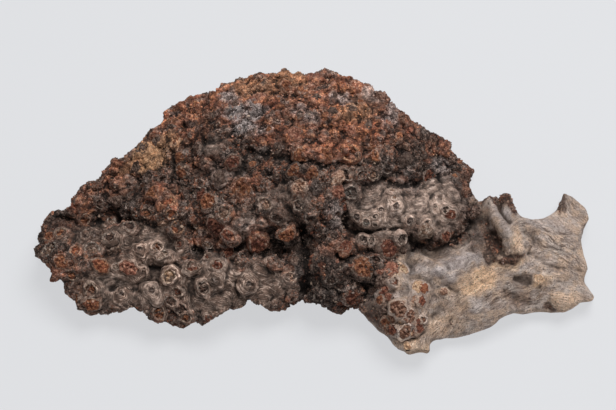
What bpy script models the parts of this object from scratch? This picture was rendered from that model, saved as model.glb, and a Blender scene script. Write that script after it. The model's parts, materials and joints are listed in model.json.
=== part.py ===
# A poplar burl, cut from its trunk and lying on its hollow side.
# Metres, +Z up. The burl is modelled about the spot that the photograph's middle looks at,
# and is moved at the end so that its box is centred on the origin and its feet stand at Z = 0.
# Places on the burl are given by the photograph's pixels, read by eye, and real heights in mm.

import math
import random

import bmesh
import bpy
import numpy as np
from mathutils import Matrix, Vector, noise
from mathutils.kdtree import KDTree

MM = 0.001

# The view of the photograph: one pixel covers 1 mm at the burl
PIXEL = 1 * MM
MIDDLE_PIXEL = (308, 205)
VIEW_ELEVATION = math.radians(52)
EYE_DISTANCE = 1400 * MM

# Driving dimensions
RIM_HEIGHT = 3 * MM
RIM_LOWEST = 1.6 * MM
FOOT_DEPTH = 0.6 * MM
PRISM_HALF_DEPTH = 340 * MM
COARSE_VOXEL = 5 * MM
FINE_VOXEL = 2.4 * MM
TRIANGLES = 11600

# Swellings of the burl: middle (x, y, z) and half sizes in mm, and a turn about Z in degrees
SWELLINGS = {
    "crown": ((-5, 15, 10), (178, 113, 130), 0),
    "crown_left": ((-110, 22, 12), (105, 78, 92), 12),
    "crown_right": ((85, 22, 12), (100, 78, 96), -8),
    "left_shoulder": ((-178, 8, 18), (66, 58, 62), 25),
    "left_back": ((-218, -22, 16), (55, 46, 46), 25),
    "left_end": ((-251, -66, 16), (36, 36, 36), 0),
    "right_crust": ((122, 20, 30), (60, 52, 66), -20),
    "right_tail": ((156, -6, 20), (30, 42, 42), 0),
    "grey_left": ((-190, -90, 14), (82, 46, 50), 4),
    "grey_front_left": ((-205, -112, 10), (48, 34, 34), -8),
    "grey_front": ((-150, -124, 10), (46, 34, 34), 0),
    "grey_middle": ((-98, -112, 14), (56, 46, 48), 0),
    "grey_right": ((-44, -108, 14), (46, 38, 42), 0),
    "mid_left": ((-122, -44, 34), (54, 46, 50), 10),
    "mid_front": ((-66, -56, 42), (58, 46, 56), 0),
    "mid_right": ((2, -54, 50), (50, 44, 58), 0),
    "dark_front": ((18, -104, 22), (38, 42, 50), 0),
    "dark_step": ((58, -108, 28), (40, 34, 40), 0),
    "roll": ((68, -84, 44), (46, 24, 24), 0),
    "swell_left": ((77, -58, 58), (50, 40, 42), 0),
    "swell_right": ((130, -50, 46), (38, 38, 40), 0),
    "knob_slope": ((84, -132, 24), (40, 34, 32), -30),
    "knob_foot": ((92, -154, 12), (34, 38, 26), 0),
    "neck": ((154, -50, 16), (42, 36, 32), 0),
    "wood_ramp": ((122, -100, 22), (52, 48, 38), 0),
    "wood_middle": ((155, -112, 8), (66, 54, 36), 8),
    "wood_plate": ((226, -78, 6), (66, 66, 32), 0),
    "wood_end": ((268, -86, 4), (30, 50, 24), 0),
    "wood_bump": ((252, -122, 4), (24, 20, 22), 0),
    "horn": ((268, -34, 10), (26, 42, 22), 20),
    "ridge_near": ((181, -66, 38), (15, 40, 30), 8),
    "ridge_far": ((201, -60, 34), (15, 47, 31), -8),
}

# Low points that it lies on, and hollows of the side that grew on the trunk
FEET = {"left": (-172, -92), "right": (128, -122), "back": (-4, 84)}
FOOT_SIZE = (28, 22, 6)
SOLE_SHARE = 0.62
HOLLOWS = {
    "trunk_side": ((-20, -14, -74), (205, 120, 94), 0),
    "raised_rim": ((44, -178, -6), (66, 34, 24), -45),
    "under_plate": ((232, -84, -22), (54, 40, 30), 0),
}

# Outline in the photograph, in pixels from its left end along the top, clockwise
OUTLINE = (
    (35, 250), (37, 240), (42, 226), (43, 219), (50, 213), (60, 210), (70, 208), (73, 199),
    (78, 190), (88, 182), (100, 179), (103, 171), (107, 169), (111, 171), (112, 159), (116, 157),
    (122, 160), (124, 156), (138, 146), (142, 140), (147, 135), (148, 131), (157, 127), (163, 120),
    (164, 112), (172, 106), (185, 101), (190, 97), (202, 93), (215, 90), (221, 87), (222, 84),
    (227, 86), (240, 78), (250, 77), (260, 74), (277, 72), (280, 70), (286, 70), (293, 75),
    (298, 72), (306, 76), (313, 74), (325, 69), (333, 71), (344, 78), (350, 78), (360, 82),
    (372, 87), (373, 94), (380, 90), (384, 92), (390, 102), (395, 107), (402, 110), (411, 121),
    (424, 127), (425, 131), (435, 133), (445, 141), (451, 143), (450, 151), (457, 158), (474, 170),
    (468, 185), (473, 198), (481, 204), (484, 200), (490, 197), (493, 200), (503, 194), (509, 195),
    (513, 206), (520, 217), (531, 220), (543, 219), (553, 214), (559, 208), (558, 204), (564, 200),
    (564, 195), (573, 197), (585, 207), (588, 218), (582, 234), (581, 245), (587, 268), (584, 277),
    (586, 286), (593, 296), (592, 301), (580, 302), (570, 311), (561, 314), (543, 313), (511, 314),
    (500, 318), (491, 328), (477, 332), (465, 337), (438, 339), (430, 341), (428, 352), (408, 353),
    (398, 350), (387, 338), (377, 331), (361, 312), (357, 307), (341, 314), (327, 309), (308, 302),
    (292, 304), (284, 312), (270, 312), (261, 304), (247, 303), (238, 310), (232, 308), (220, 317),
    (203, 325), (192, 323), (183, 329), (170, 325), (165, 321), (158, 324), (142, 312), (132, 308),
    (102, 315), (84, 314), (78, 308), (78, 302), (65, 291), (64, 280), (50, 281), (52, 271),
    (47, 265), (37, 257),
)

# Where the weathered wood on the right begins, from the front edge to the back one
WOOD_EDGE = ((345, 315), (372, 290), (392, 268), (425, 262), (460, 250), (476, 226), (480, 200))
WOOD_FADE = 14

# Lumps of the surface: (size, height), the larger ones first; the bark's lumps stand on a sunk surface
BARK_LUMPS = ((34 * MM, 5.5 * MM), (15 * MM, 3 * MM))
BARK_SINK = 2.6 * MM
WOOD_LUMPS = (48 * MM, 2.4 * MM)

# Folds: (depth in mm, half width in px, their course in px)
FOLDS = (
    (6, 4, ((60, 216), (75, 222), (103, 221), (137, 219), (155, 225), (177, 220), (192, 226), (197, 246))),
    (6, 5, ((192, 248), (230, 250), (263, 251), (290, 250), (303, 236))),
    (5, 4, ((147, 268), (163, 268), (175, 263))),
    (5, 4, ((110, 289), (130, 290), (150, 283))),
    (13, 7, ((302, 228), (306, 250), (307, 275), (302, 300))),
    (7, 4, ((345, 228), (360, 231), (373, 232), (387, 229), (400, 230))),
    (6, 4, ((340, 257), (353, 256), (372, 250))),
    (9, 6, ((410, 237), (413, 246), (437, 249), (453, 243), (465, 230), (473, 223))),
    (3, 5, ((203, 140), (220, 141), (240, 147), (262, 156), (300, 160), (330, 166))),
    (5, 5, ((380, 177), (397, 185), (412, 184), (425, 179))),
    (7, 5, ((345, 160), (343, 200), (345, 226))),
    (9, 7, ((372, 262), (368, 280), (366, 298))),
    (6, 5, ((196, 250), (198, 268), (186, 290), (180, 310))),
    (5, 5, ((234, 256), (236, 276), (226, 296))),
)

# Buds that stand out in the photograph: kind, then (u, v, radius in px) of each
BUDS = {
    "cup": (
        (112, 224, 8), (87, 236, 7), (95, 237, 6), (110, 240, 8), (76, 253, 8), (92, 250, 8),
        (52, 250, 9), (156, 248, 8), (166, 257, 7), (182, 244, 6), (177, 228, 8), (170, 277, 9),
        (192, 268, 8), (217, 266, 9), (215, 282, 6), (204, 288, 8), (153, 293, 10), (92, 290, 9),
        (159, 313, 8), (188, 317, 7), (181, 307, 7), (248, 284, 8), (288, 278, 6), (246, 257, 9),
        (147, 213, 7), (127, 186, 8), (224, 212, 8), (265, 204, 9), (245, 225, 8), (208, 245, 5),
        (348, 174, 7), (361, 175, 6), (371, 172, 8), (351, 192, 9), (392, 196, 6), (376, 218, 6),
        (401, 238, 8), (364, 241, 6), (443, 293, 6), (394, 280, 8), (198, 230, 5), (238, 304, 6),
        (140, 252, 7), (124, 262, 6), (232, 240, 7), (273, 262, 7),
    ),
    "scab": (
        (166, 202, 11), (171, 212, 8), (157, 192, 7), (100, 265, 8), (129, 268, 9), (257, 242, 12),
        (285, 234, 9), (228, 236, 7), (217, 226, 9), (210, 203, 9), (202, 195, 6), (242, 188, 9),
        (183, 158, 7), (182, 172, 7), (307, 180, 19), (335, 190, 8), (343, 205, 6), (350, 155, 13),
        (375, 156, 6), (445, 212, 8), (446, 236, 8), (387, 250, 10), (345, 248, 8), (315, 262, 7),
        (343, 273, 8), (364, 268, 10), (352, 295, 9), (422, 287, 8), (419, 302, 8), (403, 310, 10),
        (380, 305, 8), (404, 326, 11), (92, 303, 8), (62, 262, 8), (213, 147, 13),
    ),
    "nub": (
        (136, 215, 5), (129, 205, 5), (163, 222, 5), (337, 178, 6), (366, 222, 6), (410, 220, 6),
        (425, 230, 6), (450, 277, 9), (439, 270, 9), (562, 298, 12), (535, 281, 7), (115, 267, 5),
        (395, 207, 6), (489, 203, 6), (505, 200, 7), (415, 345, 8), (470, 300, 10), (455, 318, 9),
    ),
}
PITS = ((490, 234, 8), (524, 281, 7), (550, 309, 6), (370, 288, 9), (517, 297, 12))

# Buds drawn by a rule over the rest of the bark
RULE_BUDS = 420
RULE_BUD_RADII = (5 * MM, 9 * MM)
BUD_SPACING = 0.92
SEED = 41


def clear_scene():
    for obj in list(bpy.data.objects):
        bpy.data.objects.remove(obj, do_unlink=True)


def collection(name):
    made = bpy.data.collections.new(name)
    bpy.context.scene.collection.children.link(made)
    return made


def put_in(obj, home):
    for old in list(obj.users_collection):
        old.objects.unlink(obj)
    home.objects.link(obj)


# Picture axes: X to the right, then the picture's up, then towards the eye
UP = Vector((0, math.sin(VIEW_ELEVATION), math.cos(VIEW_ELEVATION)))
TO_EYE = Vector((0, -math.cos(VIEW_ELEVATION), math.sin(VIEW_ELEVATION)))
EYE = TO_EYE * EYE_DISTANCE


def picture_places(points):
    """Pixels (u, v) at which the eye sees points, given as an array."""
    depth = points @ np.array(TO_EYE)
    shrink = PIXEL * (1 - depth / EYE_DISTANCE)
    u = MIDDLE_PIXEL[0] + points[:, 0] / shrink
    v = MIDDLE_PIXEL[1] - points @ np.array(UP) / shrink
    return np.stack([u, v], axis=1)


def settle(obj):
    """The object's mesh with its modifiers applied."""
    graph = bpy.context.evaluated_depsgraph_get()
    mesh = bpy.data.meshes.new_from_object(obj.evaluated_get(graph))
    old = obj.data
    obj.modifiers.clear()
    obj.data = mesh
    bpy.data.meshes.remove(old)


def ellipsoid(name, middle, half_sizes, turn, home):
    bpy.ops.mesh.primitive_uv_sphere_add(segments=40, ring_count=24, radius=1)
    obj = bpy.context.object
    obj.name = name
    obj.matrix_world = (
        Matrix.Translation(Vector(middle) * MM)
        @ Matrix.Rotation(math.radians(turn), 4, "Z")
        @ Matrix.Diagonal((*(size * MM for size in half_sizes), 1))
    )
    obj.data.transform(obj.matrix_world)
    obj.matrix_world = Matrix()
    put_in(obj, home)
    return obj


def merged(objects, name, voxel, smoothing):
    """One body from overlapping closed ones, remeshed in cubes of this size."""
    first = objects[0]
    bpy.ops.object.select_all(action="DESELECT")
    for obj in objects:
        obj.select_set(True)
    bpy.context.view_layer.objects.active = first
    if len(objects) > 1:
        bpy.ops.object.join()
    first.name = name
    remesh = first.modifiers.new("even mesh", "REMESH")
    remesh.mode = "VOXEL"
    remesh.voxel_size = voxel
    smooth = first.modifiers.new("soft edges", "SMOOTH")
    smooth.factor = 0.5
    smooth.iterations = smoothing
    settle(first)
    return first


def outline_prism(home):
    """The outline as the eye sees it, a solid that narrows towards the eye."""
    curve = bpy.data.curves.new("outline", "CURVE")
    curve.dimensions = "2D"
    curve.fill_mode = "BOTH"
    curve.extrude = PRISM_HALF_DEPTH
    spline = curve.splines.new("POLY")
    spline.points.add(len(OUTLINE) - 1)
    for point, (u, v) in zip(spline.points, OUTLINE):
        point.co = ((u - MIDDLE_PIXEL[0]) * PIXEL, (MIDDLE_PIXEL[1] - v) * PIXEL, 0, 1)
    spline.use_cyclic_u = True
    guide = bpy.data.objects.new("outline", curve)
    home.objects.link(guide)
    graph = bpy.context.evaluated_depsgraph_get()
    mesh = bpy.data.meshes.new_from_object(guide.evaluated_get(graph))
    bpy.data.objects.remove(guide, do_unlink=True)
    shape = bmesh.new()
    shape.from_mesh(mesh)
    bmesh.ops.remove_doubles(shape, verts=shape.verts, dist=0.00001)
    for vert in shape.verts:
        across, rise, depth = vert.co
        narrow = 1 - depth / EYE_DISTANCE
        vert.co = Vector((across * narrow, 0, 0)) + UP * rise * narrow + TO_EYE * depth
    bmesh.ops.recalc_face_normals(shape, faces=shape.faces)
    shape.to_mesh(mesh)
    shape.free()
    prism = bpy.data.objects.new("outline_prism", mesh)
    home.objects.link(prism)
    return prism


def floor_block(home):
    bpy.ops.mesh.primitive_cube_add(size=1)
    block = bpy.context.object
    block.name = "below_the_rim"
    side, depth = 1200 * MM, 400 * MM
    lowered = Matrix.Translation((0, 0, RIM_HEIGHT - depth / 2))
    block.data.transform(lowered @ Matrix.Diagonal((side, side, depth, 1)))
    put_in(block, home)
    return block


def trim(obj, cutter, operation):
    cutter.hide_render = True
    cutter.display_type = "WIRE"
    boolean = obj.modifiers.new(cutter.name, "BOOLEAN")
    boolean.operation = operation
    boolean.object = cutter
    boolean.solver = "EXACT"


def course_distance(places, course):
    """Distance of each place to a line through the course's points, in pixels."""
    least = np.full(len(places), np.inf)
    for start, end in zip(course[:-1], course[1:]):
        start, run = np.array(start, float), np.subtract(end, start).astype(float)
        along = np.clip((places - start) @ run / (run @ run), 0, 1)
        least = np.minimum(least, np.linalg.norm(places - start - along[:, None] * run, axis=1))
    return least


def wood_share(places):
    """1 on the weathered wood, 0 on the bark, by the place in the picture."""
    rows = np.array([v for _, v in WOOD_EDGE], float)[::-1]
    edge = np.array([u for u, _ in WOOD_EDGE], float)[::-1]
    border = np.interp(places[:, 1], rows, edge)
    return np.clip((places[:, 0] - border) / WOOD_FADE + 0.5, 0, 1)


def read_points(mesh):
    points = np.empty(len(mesh.vertices) * 3, np.float32)
    mesh.vertices.foreach_get("co", points)
    normals = np.empty(len(mesh.vertices) * 3, np.float32)
    mesh.vertices.foreach_get("normal", normals)
    return points.reshape(-1, 3).astype(float), normals.reshape(-1, 3).astype(float)


def write_points(mesh, points):
    mesh.vertices.foreach_set("co", points.astype(np.float32).ravel())
    mesh.update()


def lumps(points, size, octaves):
    """Even noise of about -1 to 1, with lumps of this size."""
    return np.array([noise.fractal(Vector(p) / size, 1.0, 2.0, octaves) for p in points])


def raise_relief(mesh):
    """Swells the bark in lumps, keeps the wood calm, and sinks the folds."""
    points, normals = read_points(mesh)
    places = picture_places(points)
    wood = wood_share(places)
    facing = (np.array(EYE) - points) @ np.array(TO_EYE) > 0
    facing &= np.einsum("ij,ij->i", normals, np.array(EYE) - points) > 0
    rough = sum(lumps(points + size * 20, size, 2) * height for size, height in BARK_LUMPS) - BARK_SINK
    calm = lumps(points, WOOD_LUMPS[0], 1) * WOOD_LUMPS[1]
    rise = rough * (1 - wood) + calm * wood
    for depth, width, course in FOLDS:
        distance = course_distance(places, course)
        rise -= np.where(facing, depth * MM * np.exp(-((distance / width) ** 2)), 0)
    under = np.clip(-normals[:, 2] * 2, 0, 1)
    points += normals * (rise * (1 - 0.7 * under))[:, None]
    write_points(mesh, points)


def bud_places(mesh):
    """(middle, way out, radius, kind) of each bud: the ones read by eye, then those of the rule."""
    points, normals = read_points(mesh)
    seen = picture_places(points)
    to_eye = np.array(EYE) - points
    facing = np.einsum("ij,ij->i", normals, to_eye) / np.linalg.norm(to_eye, axis=1)
    nearness = points @ np.array(TO_EYE)
    found = []
    named = [(kind, *bud) for kind, buds in BUDS.items() for bud in buds]
    named += [("pit", *pit) for pit in PITS]
    for kind, u, v, radius in named:
        off = np.linalg.norm(seen - (u, v), axis=1)
        close = np.flatnonzero((off < 4) & (facing > 0))
        if len(close) == 0:
            continue
        nearest = close[np.argmax(nearness[close] / PIXEL - off[close])]
        found.append((points[nearest], normals[nearest], radius * PIXEL, kind))
    draw = random.Random(SEED)
    wood = wood_share(seen)
    candidates = np.flatnonzero((wood < 0.3) & (normals[:, 2] > -0.35))
    tree = KDTree(RULE_BUDS + len(found))
    for number, bud in enumerate(found):
        tree.insert(bud[0], number)
    tree.balance()
    left = RULE_BUDS
    for _ in range(RULE_BUDS * 8):
        if left == 0:
            break
        index = candidates[draw.randrange(len(candidates))]
        radius = draw.uniform(*RULE_BUD_RADII)
        kind = draw.choice(("cup", "scab", "nub", "nub"))
        near = [found[n][2] for _, n, gap in tree.find_range(points[index], 30 * MM)
                if gap < BUD_SPACING * (found[n][2] + radius)]
        if near:
            continue
        found.append((points[index], normals[index], radius, kind))
        tree.insert(points[index], len(found) - 1)
        tree.balance()
        left -= 1
    return found


def raise_buds(mesh, buds):
    """Each bud is a ring with a hollow in it, a flat scab or a round nub."""
    points, _ = read_points(mesh)
    moved = points.copy()
    tree = KDTree(len(points))
    for index, point in enumerate(points):
        tree.insert(point, index)
    tree.balance()
    for middle, way_out, radius, kind in buds:
        near = tree.find_range(middle, radius * 1.6)
        index = np.array([n for _, n, _ in near])
        reach = np.array([gap for _, _, gap in near]) / radius
        if kind == "cup":
            rise = 0.42 * np.exp(-(((reach - 0.62) / 0.3) ** 2)) - 0.16 * np.exp(-((reach / 0.3) ** 2))
        elif kind == "scab":
            rise = 0.36 / (1 + np.exp((reach - 0.85) * 9))
        elif kind == "nub":
            rise = 0.5 * np.exp(-((reach / 0.62) ** 2))
        else:
            rise = -0.55 * np.exp(-((reach / 0.62) ** 2))
        moved[index] += np.outer(rise * radius, way_out)
    write_points(mesh, moved)


def keep_off_floor(mesh):
    """Only the middles of the feet reach the floor, and all else stays a little above it."""
    points, normals = read_points(mesh)
    sole = np.zeros(len(points), bool)
    for x, y in FEET.values():
        across = (points[:, 0] - x * MM) / (FOOT_SIZE[0] * MM)
        along = (points[:, 1] - y * MM) / (FOOT_SIZE[1] * MM)
        sole |= (across**2 + along**2 < SOLE_SHARE**2) & (normals[:, 2] < -0.5)
    sole &= points[:, 2] < 2 * RIM_HEIGHT
    points[:, 2] = np.where(sole, -FOOT_DEPTH, np.maximum(points[:, 2], RIM_LOWEST))
    write_points(mesh, points)


def flatten_feet(mesh):
    """Cuts the feet level, so that each ends in one flat face at Z = 0."""
    shape = bmesh.new()
    shape.from_mesh(mesh)
    parts = shape.verts[:] + shape.edges[:] + shape.faces[:]
    cut = bmesh.ops.bisect_plane(
        shape, geom=parts, plane_co=(0, 0, 0), plane_no=(0, 0, -1), clear_outer=True
    )
    rim = [item for item in cut["geom_cut"] if isinstance(item, bmesh.types.BMEdge)]
    bmesh.ops.holes_fill(shape, edges=rim, sides=0)
    for vert in shape.verts:
        if abs(vert.co.z) < 0.00001:
            vert.co.z = 0
    bmesh.ops.triangulate(shape, faces=[face for face in shape.faces if len(face.verts) > 3])
    bmesh.ops.recalc_face_normals(shape, faces=shape.faces)
    shape.to_mesh(mesh)
    shape.free()


def centre_on_origin(mesh):
    points, _ = read_points(mesh)
    low, high = points.min(axis=0), points.max(axis=0)
    offset = ((low[0] + high[0]) / 2, (low[1] + high[1]) / 2)
    points[:, :2] -= offset
    write_points(mesh, points)
    print(f"moved by {-offset[0]:.5f}, {-offset[1]:.5f} m")
    print("size in mm:", np.round((high - low) / MM, 1))


def bark_material():
    material = bpy.data.materials.new("bark")
    material.use_nodes = True
    shader = material.node_tree.nodes["Principled BSDF"]
    shader.inputs["Base Color"].default_value = (0.09, 0.055, 0.038, 1)
    shader.inputs["Roughness"].default_value = 0.85
    shader.inputs["Metallic"].default_value = 0.0
    return material


def decimated(obj, triangles):
    """Fewer triangles, with the most left where the surface bends."""
    obj.data.calc_loop_triangles()
    decimate = obj.modifiers.new("fewer triangles", "DECIMATE")
    decimate.ratio = triangles / len(obj.data.loop_triangles)
    settle(obj)


def build():
    clear_scene()
    burls = collection("poplar_burl")
    cutters = collection("cutters")

    lobes = [ellipsoid(name, *sizes, burls) for name, sizes in SWELLINGS.items()]
    burl = merged(lobes, "burl", COARSE_VOXEL, 3)

    trim(burl, outline_prism(cutters), "INTERSECT")
    trim(burl, floor_block(cutters), "DIFFERENCE")
    for name, sizes in HOLLOWS.items():
        trim(burl, ellipsoid(name, *sizes, cutters), "DIFFERENCE")
    settle(burl)

    feet = []
    for name, (x, y) in FEET.items():
        middle = (x, y, FOOT_SIZE[2] - FOOT_DEPTH / MM)
        feet.append(ellipsoid("foot_" + name, middle, FOOT_SIZE, 0, burls))
    burl = merged([burl, *feet], "burl", FINE_VOXEL, 2)

    raise_relief(burl.data)
    raise_buds(burl.data, bud_places(burl.data))
    keep_off_floor(burl.data)
    decimated(burl, TRIANGLES)
    flatten_feet(burl.data)
    centre_on_origin(burl.data)

    burl.data.materials.clear()
    burl.data.materials.append(bark_material())
    burl.data.shade_smooth()


build()
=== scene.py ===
import json
import math
import random

import bmesh
import bpy
import numpy as np
from mathutils import Matrix, Vector
from mathutils.bvhtree import BVHTree
from mathutils.kdtree import KDTree

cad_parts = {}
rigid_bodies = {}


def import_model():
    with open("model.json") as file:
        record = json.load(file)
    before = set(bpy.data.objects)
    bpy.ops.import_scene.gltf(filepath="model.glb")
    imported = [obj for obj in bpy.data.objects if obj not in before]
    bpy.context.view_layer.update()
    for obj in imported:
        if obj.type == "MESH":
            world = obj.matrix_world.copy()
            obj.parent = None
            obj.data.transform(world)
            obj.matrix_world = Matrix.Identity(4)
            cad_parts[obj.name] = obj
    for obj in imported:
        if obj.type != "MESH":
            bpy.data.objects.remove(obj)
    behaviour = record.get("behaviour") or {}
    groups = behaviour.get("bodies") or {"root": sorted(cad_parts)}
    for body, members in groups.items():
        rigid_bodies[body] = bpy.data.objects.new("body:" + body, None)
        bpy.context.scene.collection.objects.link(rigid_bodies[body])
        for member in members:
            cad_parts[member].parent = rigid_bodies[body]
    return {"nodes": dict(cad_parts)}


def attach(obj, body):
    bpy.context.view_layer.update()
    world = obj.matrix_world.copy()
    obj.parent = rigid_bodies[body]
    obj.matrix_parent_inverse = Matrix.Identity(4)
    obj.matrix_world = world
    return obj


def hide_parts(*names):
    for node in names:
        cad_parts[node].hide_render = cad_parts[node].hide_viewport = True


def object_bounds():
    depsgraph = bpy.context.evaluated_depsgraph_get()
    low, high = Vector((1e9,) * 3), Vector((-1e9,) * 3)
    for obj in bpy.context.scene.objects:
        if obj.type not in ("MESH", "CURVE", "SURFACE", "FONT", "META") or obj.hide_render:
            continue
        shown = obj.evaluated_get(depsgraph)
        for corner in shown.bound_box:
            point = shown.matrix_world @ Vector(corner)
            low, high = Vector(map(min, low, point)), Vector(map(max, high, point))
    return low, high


# The burl of the frame gets its fine surface here: body, bud rings, knobs, teeth and crumbs of bark.
# Metres, +Z up. Places read from the photograph are pixels (u, v) of its 616 x 410 frame.

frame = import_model()
cadLow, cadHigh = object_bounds()
mm = 0.001

view = {
    "elevation": 52,            # degrees above the surface
    "distance": 1.4,            # metres from the eye to the middle of the picture
    "pixel": 1 * mm,            # on the burl
    "middlePixel": (308, 205),
    "aim": (-0.00539, 0.02716, 0),
    "sensor": 36,
    "width": 616,
}

tilt = math.radians(view["elevation"])
pictureUp = Vector((0, math.sin(tilt), math.cos(tilt)))
toEye = Vector((0, -math.cos(tilt), math.sin(tilt)))
aim = Vector(view["aim"])
eye = aim + toEye * view["distance"]


def pixelSize(points):
    # metres that a pixel spans at each of an array of points
    return view["pixel"] * (1 - (points - np.array(aim)) @ np.array(toEye) / view["distance"])


def picturePlaces(points):
    # pixels at which the eye sees each row of an array of points
    offset, size = points - np.array(aim), pixelSize(points)
    u = view["middlePixel"][0] + offset[:, 0] / size
    v = view["middlePixel"][1] - offset @ np.array(pictureUp) / size
    return np.stack([u, v], axis=1)


def viewRay(u, v):
    across = (u - view["middlePixel"][0]) * view["pixel"]
    rise = (view["middlePixel"][1] - v) * view["pixel"]
    return (aim + Vector((across, 0, 0)) + pictureUp * rise - eye).normalized()


# Noise that is worked out for whole arrays of points

def cellNumber(cells, salt):
    # a number from 0 to 1 for each cell with whole-number corners
    x, y, z = (cells[:, i].astype(np.int64).astype(np.uint32) for i in range(3))
    n = x * np.uint32(73856093) ^ y * np.uint32(19349663) ^ z * np.uint32(83492791)
    n = n ^ np.uint32(salt * 7919 + 101)
    for factor in (np.uint32(2246822519), np.uint32(3266489917)):
        n = (n ^ (n >> np.uint32(15))) * factor
    n = n ^ (n >> np.uint32(16))
    return (n & np.uint32(0xFFFFFF)) / 0xFFFFFF


def softNoise(points, size, salt):
    # smooth noise of -1 to 1
    scaled = points / size
    base = np.floor(scaled)
    part = scaled - base
    part = part * part * (3 - 2 * part)
    total = np.zeros(len(points))
    for corner in np.ndindex(2, 2, 2):
        share = np.prod(np.where(np.array(corner) == 1, part, 1 - part), axis=1)
        total += share * cellNumber(base + corner, salt)
    return total * 2 - 1


def roughNoise(points, size, salt, octaves=3):
    total = np.zeros(len(points))
    for step in range(octaves):
        total += softNoise(points + step * 0.37, size / 2**step, salt + step) / 2**step
    return total / 1.5


def grainNoise(points, size, salt):
    # distances, in cells, to the nearest and next of scattered spots, and the nearest one's number
    scaled = points / size
    base = np.floor(scaled)
    first = np.full(len(points), 9.0)
    second = np.full(len(points), 9.0)
    number = np.zeros(len(points))
    for step in np.ndindex(3, 3, 3):
        cell = base + np.array(step) - 1
        spot = cell + np.stack([cellNumber(cell, salt + i) for i in range(3)], axis=1)
        gap = np.linalg.norm(scaled - spot, axis=1)
        nearer = gap < first
        second = np.where(nearer, first, np.minimum(second, gap))
        number = np.where(nearer, cellNumber(cell, salt + 3), number)
        first = np.minimum(first, gap)
    return first, second, number


def ramp(values, low, high):
    share = np.clip((values - low) / (high - low), 0, 1)
    return share * share * (3 - 2 * share)


def courseDistance(places, course):
    # pixels from each place to a line through the course's points
    least = np.full(len(places), np.inf)
    for start, end in zip(course[:-1], course[1:]):
        start, run = np.array(start, float), np.subtract(end, start).astype(float)
        along = np.clip((places - start) @ run / (run @ run), 0, 1)
        least = np.minimum(least, np.linalg.norm(places - start - along[:, None] * run, axis=1))
    return least


# The burl's outline as the eye sees it, and the tips that reach out to it: (from, to, reach in px)
outline = (
    (35, 250), (37, 240), (42, 226), (43, 219), (50, 213), (60, 210), (70, 208), (73, 199),
    (78, 190), (88, 182), (100, 179), (103, 171), (107, 169), (111, 171), (112, 159), (116, 157),
    (122, 160), (124, 156), (138, 146), (142, 140), (147, 135), (148, 131), (157, 127), (163, 120),
    (164, 112), (172, 106), (185, 101), (190, 97), (202, 93), (215, 90), (221, 87), (222, 84),
    (227, 86), (240, 78), (250, 77), (260, 74), (277, 72), (280, 70), (286, 70), (293, 75),
    (298, 72), (306, 76), (313, 74), (325, 69), (333, 71), (344, 78), (350, 78), (360, 82),
    (372, 87), (373, 94), (380, 90), (384, 92), (390, 102), (395, 107), (402, 110), (411, 121),
    (424, 127), (425, 131), (435, 133), (445, 141), (451, 143), (450, 151), (457, 158), (474, 170),
    (468, 185), (473, 198), (481, 204), (484, 200), (490, 197), (493, 200), (503, 194), (509, 195),
    (513, 206), (520, 217), (531, 220), (543, 219), (553, 214), (559, 208), (558, 204), (564, 200),
    (564, 195), (573, 197), (585, 207), (588, 218), (582, 234), (581, 245), (587, 268), (584, 277),
    (586, 286), (593, 296), (592, 301), (580, 302), (570, 311), (561, 314), (543, 313), (511, 314),
    (500, 318), (491, 328), (477, 332), (465, 337), (438, 339), (430, 341), (428, 352), (408, 353),
    (398, 350), (387, 338), (377, 331), (361, 312), (357, 307), (341, 314), (327, 309), (308, 302),
    (292, 304), (284, 312), (270, 312), (261, 304), (247, 303), (238, 310), (232, 308), (220, 317),
    (203, 325), (192, 323), (183, 329), (170, 325), (165, 321), (158, 324), (142, 312), (132, 308),
    (102, 315), (84, 314), (78, 308), (78, 302), (65, 291), (64, 280), (50, 281), (52, 271),
    (47, 265), (37, 257),
)
tips = (
    ((490, 205), (491, 197), 7), ((507, 205), (506, 193), 8), ((567, 203), (564, 194), 6),
    ((584, 214), (589, 217), 9), ((586, 293), (594, 297), 7), ((584, 266), (587, 268), 8),
    ((422, 345), (428, 352), 6), ((412, 349), (409, 354), 6),
)


def outlineGap(places):
    # for each place the nearest point of the outline, the distance to it, and whether it lies outside
    least = np.full(len(places), np.inf)
    near = np.zeros_like(places)
    inside = np.zeros(len(places), bool)
    for start, end in zip(outline, outline[1:] + outline[:1]):
        start, end = np.array(start, float), np.array(end, float)
        run = end - start
        along = np.clip((places - start) @ run / (run @ run), 0, 1)
        spot = start + along[:, None] * run
        gap = np.linalg.norm(places - spot, axis=1)
        closer = gap < least
        near[closer], least = spot[closer], np.minimum(least, gap)
        if start[1] != end[1]:
            crosses = (start[1] > places[:, 1]) != (end[1] > places[:, 1])
            side = start[0] + (places[:, 1] - start[1]) * run[0] / run[1]
            inside ^= crosses & (places[:, 0] < side)
    return near, least, ~inside


def shiftInPicture(points, shift):
    # moves points by pixels, in the plane that faces the eye
    move = shift * pixelSize(points)[:, None]
    return points + np.outer(move[:, 0], (1, 0, 0)) - np.outer(move[:, 1], np.array(pictureUp))


def keptInside(points, margin):
    # what the eye would see further out than the margin, in px past the outline, moves in to it
    places = picturePlaces(points)
    near, gap, outside = outlineGap(places)
    signed = np.where(outside, gap, -gap)
    inward = (near - places) / np.maximum(gap, 0.001)[:, None] * np.where(outside, 1, -1)[:, None]
    return shiftInPicture(points, inward * np.maximum(signed - margin, 0)[:, None])


def raggedMargin(points, wood, margins):
    # how far bark and wood may stand past the outline, in px; bark has notches there
    depth = points @ np.array(toEye) * body["notchRun"]
    flat = np.column_stack([picturePlaces(points) * view["pixel"], depth])
    notches = np.zeros(len(points))
    for order, (spacing, deepest) in enumerate(body["notches"]):
        notches += ramp(grainNoise(flat, spacing, 77 + 5 * order)[0], 0.3, 0.85) * deepest
    return margins[0] * (1 - wood) + margins[1] * wood - notches * (1 - wood)


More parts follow.
